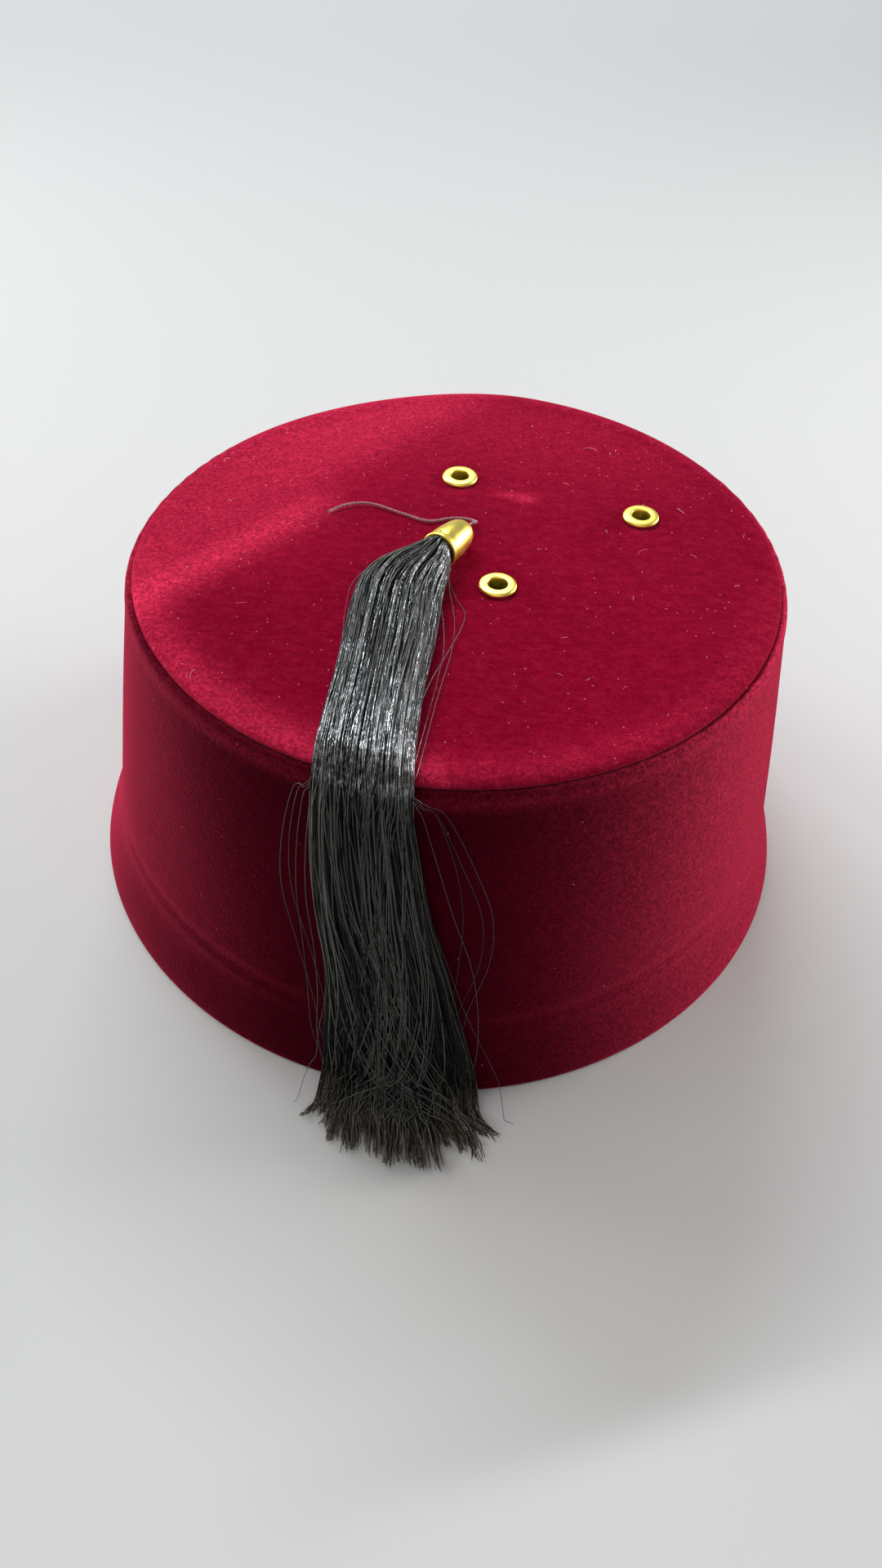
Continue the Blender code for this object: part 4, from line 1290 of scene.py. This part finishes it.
def strand_piece(name, lines, radius, material, chance, loose, uneven=True):
    """Strands as one mesh. loose ones are paler, a painted highlight, and uneven ones lie at slightly different
    heights.
    """
    lines = np.array(lines)
    if uneven:
        lying = ramp(lines[..., 2], LYING_HEIGHT, 0.004) * ramp(lines[..., 1], BEND_Y, 0.006)
        lines[..., 2] += chance.uniform(0, UNEVENNESS, lines.shape[:2]) * lying
    count, length = lines.shape[:2]
    along = np.linspace(0, 1, length)
    thin = 1 - STRAND_TAPER * ramp(along, 0.93, 0.07)
    wide = radius * chance.uniform(0.85, 1.15, (count, 1)) * thin
    lines[..., 2] = np.maximum(lines[..., 2], wide)
    points, faces = tube_arrays(lines, wide, 3)
    tone_and_highlight = chance.uniform(0, 1, count) ** 9
    # Painted highlight: the loose strands, lying over the others, take a much paler tone
    tone_and_highlight = np.where(loose, chance.uniform(0.35, 1.0, count), tone_and_highlight)[:, None]
    dull = chance.uniform(0, 1, (count, 1)) ** 1.5
    tip = ramp(along, chance.uniform(0.90, 0.98, (count, 1)), 0.05)
    tip = tip * chance.uniform(0.3, 1, (count, 1))
    by_edge = ramp(-lines[..., 1], 0.030, 0.030)
    bright = chance.uniform(0.1, 1, (count, 1)) ** (1.7 - 1.35 * by_edge)
    lustre = bright * ramp(lines[..., 2], LUSTRE_HEIGHT, 0.0045)
    shares = {"tone_and_highlight": tone_and_highlight, "tip": tip, "dull": dull, "lustre": lustre}
    for share_name, values in shares.items():
        shares[share_name] = np.broadcast_to(values[..., None], points.shape[:3])
    return make_mesh(name, points, faces, material, shares)


def cord_line():
    local = smooth_line(np.array(CORD_ROUTE), 12)
    return on_top(local[:, 0], local[:, 1], local[:, 2])


def make_cord(material):
    """Two plies twisted round the route, which the cord's own measure follows."""
    middle = cord_line()
    along = unit(np.gradient(middle, axis=0))
    first = unit(np.cross(along, np.array([0.2, -0.4, 0.9])))
    second = np.cross(along, first)
    run = np.concatenate([[0], np.cumsum(np.linalg.norm(np.diff(middle, axis=0), axis=1))])
    turn = math.tau * run / (CORD_TURN * CORD_DIAMETER)
    plies = []
    for start in (0.0, math.pi):
        wind = np.cos(turn + start)[:, None] * first + np.sin(turn + start)[:, None] * second
        plies.append(middle + CORD_DIAMETER * PLY_OFFSET * wind)
    points, faces = tube_arrays(np.stack(plies), CORD_DIAMETER * PLY_RADIUS, 6)
    cord = make_mesh("tassel_thread", points, faces, material)
    return cord, middle, float(run[-1])


def lint_lines(count, chance):
    """Short curled fibres lying on the top, away from the fringe."""
    steps = np.linspace(0, 1, 7)
    found = []
    while len(found) < count:
        x, y = chance.uniform(-PANEL_RADIUS, PANEL_RADIUS, 2) * 0.96
        by_fringe = LINT_FREE_X[0] < x < LINT_FREE_X[1] and y < LINT_FREE_Y
        if math.hypot(x, y) > PANEL_RADIUS * 0.95 or by_fringe:
            continue
        length = 0.0005 + chance.exponential(0.0009)
        turn = chance.uniform(0, math.tau)
        heading = turn + chance.uniform(-1.8, 1.8) * steps
        line_x = x + np.cumsum(np.cos(heading)) * length / len(steps)
        line_y = y + np.cumsum(np.sin(heading)) * length / len(steps)
        up = 0.00010 + 0.00035 * np.sin(math.pi * steps) * chance.uniform(0, 1)
        line = settled(line_x, line_y, np.full(len(steps), HAT_HEIGHT))
        line[:, 2] += up + panel_swell(line_x, line_y)
        found.append(line)
    return np.array(found)


def aim(piece, place, target):
    piece.location = place
    piece.rotation_euler = (Vector(target) - Vector(place)).to_track_quat("-Z", "Y").to_euler()


def add_light(name, place, target, power, size, colour=(1, 1, 1), spread=180):
    light = bpy.data.lights.new(name, "AREA")
    light.energy = power
    light.shape = "RECTANGLE"
    light.size, light.size_y = size
    light.color = colour
    light.spread = math.radians(spread)
    aim(add_object(name, light), place, target)


def add_camera():
    target = AXIS + Vector((0, 0, CAMERA_TARGET_HEIGHT))
    back = CAMERA_DISTANCE * math.cos(CAMERA_ELEVATION)
    place = AXIS + Vector((0, -back, CAMERA_DISTANCE * math.sin(CAMERA_ELEVATION)))
    ahead = (target - place).normalized()
    right = ahead.cross(Vector((0, 0, 1))).normalized()
    up = right.cross(ahead)
    cos, sin = math.cos(CAMERA_ROLL), math.sin(CAMERA_ROLL)
    right, up = right * cos + up * sin, up * cos - right * sin
    data = bpy.data.cameras.new("camera")
    data.sensor_width = 36
    data.lens = CAMERA_LENS
    data.clip_start = 0.01
    camera = add_object("camera", data)
    turn = Matrix((right, up, -ahead)).transposed().to_4x4()
    camera.matrix_world = Matrix.Translation(place) @ turn
    bpy.context.scene.camera = camera


class FezStage(bpy.types.Operator):
    """Builds the pale floor, the soft lights and the camera."""

    bl_idname = "fez.stage"
    bl_label = "Stage and camera"

    def execute(self, context):
        settings = context.scene.fez_stage
        add_camera()
        corners = ((-1, -1), (1, -1), (1, 1), (-1, 1))
        points = [(x * FLOOR_HALF, y * FLOOR_HALF, 0) for x, y in corners]
        matt = pale_floor("pale_floor", tuple(settings.floor_colour))
        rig.stage(make_mesh("floor", points, [(0, 1, 2, 3)], matt))
        middle = AXIS + Vector((0, 0, LIT_HEIGHT))
        add_light("key_behind", KEY_PLACE, middle, settings.key_power, KEY_SIZE, KEY_TINT)
        for name, place, power in RIM_LIGHTS:
            add_light(name, place, middle, power, RIM_SIZE, spread=RIM_SPREAD)
        sky = bpy.data.lights.new("overhead", "SUN")
        sky.energy = settings.sky_strength
        sky.angle = math.radians(OVERHEAD_SPREAD)
        aim(add_object("overhead", sky), OVERHEAD_PLACE, middle)
        add_light("fill_front", FILL_PLACE, middle, FILL_POWER, FILL_SIZE)
        world = bpy.data.worlds.new("surroundings")
        world.use_nodes = True
        ground = world.node_tree.nodes["Background"]
        ground.inputs["Color"].default_value = SURROUNDINGS
        ground.inputs["Strength"].default_value = settings.world_strength
        context.scene.world = world
        context.scene.view_settings.view_transform = "Standard"
        return {"FINISHED"}


class FezCrown(bpy.types.Operator):
    """Builds the velvet wall and the velvet top."""

    bl_idname = "fez.crown"
    bl_label = "Velvet crown"

    def execute(self, context):
        settings = context.scene.fez_velvet
        painted_sheen_and_spots = tuple(settings.painted_sheen_and_spots_colour)
        top = velvet(
            "top_velvet", tuple(settings.top_colour), painted_sheen_and_spots,
            dark_share=0.80, lint_share=0.35, sheen=0.6, streak_share=0.11,
        )
        # The wall's velvet has the darker colour of painted shade
        wall = velvet(
            "wall_velvet_painted_shade", tuple(settings.shaded_wall_colour), painted_sheen_and_spots,
            dark_share=0.70, lint_share=0.04, sheen=1.0, streak_share=0.012,
        )
        seat(make_wall(wall), "velvet", "side_wall")
        seat(make_panel(top), "velvet", "top_panel")
        return {"FINISHED"}


class FezEyelets(bpy.types.Operator):
    """Builds the three gold eyelets of the top."""

    bl_idname = "fez.eyelets"
    bl_label = "Eyelets"

    def execute(self, context):
        settings = context.scene.fez_metal
        gold = polished_gold("eyelet_gold", tuple(settings.colour))
        for name, (x, y) in EYELET_PLACES.items():
            place = TOP_PLACE @ Matrix.Translation((x, y, 0))
            eyelet = turned("gold_" + name, eyelet_line(), place, settings.segments, gold)
            seat(eyelet, "gold", name)
        return {"FINISHED"}


class FezCap(bpy.types.Operator):
    """Builds the gold bell cap of the tassel."""

    bl_idname = "fez.tassel_cap"
    bl_label = "Tassel cap"

    def execute(self, context):
        settings = context.scene.fez_metal
        gold = polished_gold("cap_gold", tuple(settings.colour))
        cap = turned("gold_cap", cap_line(), cap_matrix(), settings.segments, gold)
        seat(cap, "gold", "tassel_cap")
        return {"FINISHED"}


class FezCord(bpy.types.Operator):
    """Builds the thin twisted cord that lies on the top."""

    bl_idname = "fez.cord"
    bl_label = "Cord"

    def execute(self, context):
        colour = tuple(context.scene.fez_tassel.cord_colour)
        material = thread("maroon_thread", colour, PALE_THREAD)
        cord, middle, length = make_cord(material)
        seat(cord, "maroon_cord", "tassel_cord")
        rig.cord(
            cord, exit=middle[0], length=length, diameter=CORD_DIAMETER, far_end="bare",
            stiffness="limp", lay="loose", path=middle,
        )
        return {"FINISHED"}


class FezFringe(bpy.types.Operator):
    """Builds the fringe's strands, in bundles, and the strays beside it."""

    bl_idname = "fez.fringe"
    bl_label = "Fringe"

    def execute(self, context):
        settings = context.scene.fez_tassel
        chance = np.random.default_rng(FRINGE_SEED)
        radius = settings.strand_radius
        material = rayon("black_rayon", tuple(settings.colour), tuple(settings.tip_colour))
        lines, crossing = strand_lines(settings.strands, chance)
        for i in range(BUNDLES):
            bundle, loose = lines[i::BUNDLES], crossing[i::BUNDLES]
            piece = strand_piece(f"fringe_bundle_{i + 1}", bundle, radius, material, chance, loose)
            seat(piece, "black_yarn", *(["tassel_fringe"] if i == 0 else []))
        lines = smooth_line(stray_lines(chance), 5)
        strays = strand_piece(
            "fringe_strays", lines, radius * STRAY_WIDTH, material, chance, loose=True, uneven=False
        )
        seat(strays, "black_yarn")
        return {"FINISHED"}


class FezLint(bpy.types.Operator):
    """Scatters short loose fibres on the velvet top."""

    bl_idname = "fez.lint"
    bl_label = "Lint"

    def execute(self, context):
        chance = np.random.default_rng(LINT_SEED)
        lines = smooth_line(lint_lines(context.scene.fez_velvet.lint_count, chance), 2)
        points, faces = tube_arrays(lines, LINT_RADIUS, 4)
        seat(make_mesh("lint", points, faces, lint_fibre("lint_fibre")), "velvet")
        return {"FINISHED"}


BUILDERS = (FezStage, FezCord, FezCrown, FezEyelets, FezCap, FezFringe, FezLint)
SETTINGS = {
    "fez_velvet": FezVelvetSettings,
    "fez_metal": FezMetalSettings,
    "fez_tassel": FezTasselSettings,
    "fez_stage": FezStageSettings,
}


class FezPanel(bpy.types.Panel):
    """Lists the builders and their settings in the sidebar."""

    bl_idname = "VIEW3D_PT_fez"
    bl_label = "Velvet fez"
    bl_space_type = "VIEW_3D"
    bl_region_type = "UI"
    bl_category = "Fez"

    def draw(self, context):
        for name, group in SETTINGS.items():
            box = self.layout.box()
            for setting in group.__annotations__:
                box.prop(getattr(context.scene, name), setting)
        for builder in BUILDERS:
            self.layout.operator(builder.bl_idname)


def register():
    for name, group in SETTINGS.items():
        bpy.utils.register_class(group)
        setattr(bpy.types.Scene, name, bpy.props.PointerProperty(type=group))
    for builder in BUILDERS:
        bpy.utils.register_class(builder)
    bpy.utils.register_class(FezPanel)


def unregister():
    bpy.utils.unregister_class(FezPanel)
    for builder in reversed(BUILDERS):
        bpy.utils.unregister_class(builder)
    for name, group in SETTINGS.items():
        delattr(bpy.types.Scene, name)
        bpy.utils.unregister_class(group)


def main():
    register()
    for builder in BUILDERS:
        family, name = builder.bl_idname.split(".")
        getattr(getattr(bpy.ops, family), name)()
    low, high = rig.bounds()
    boxes = {"cad": [list(CAD_LOW), list(CAD_HIGH)], "visual": [list(low), list(high)]}
    with open("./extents.json", "w") as out:
        json.dump(boxes, out)


if __name__ == "__main__":
    main()
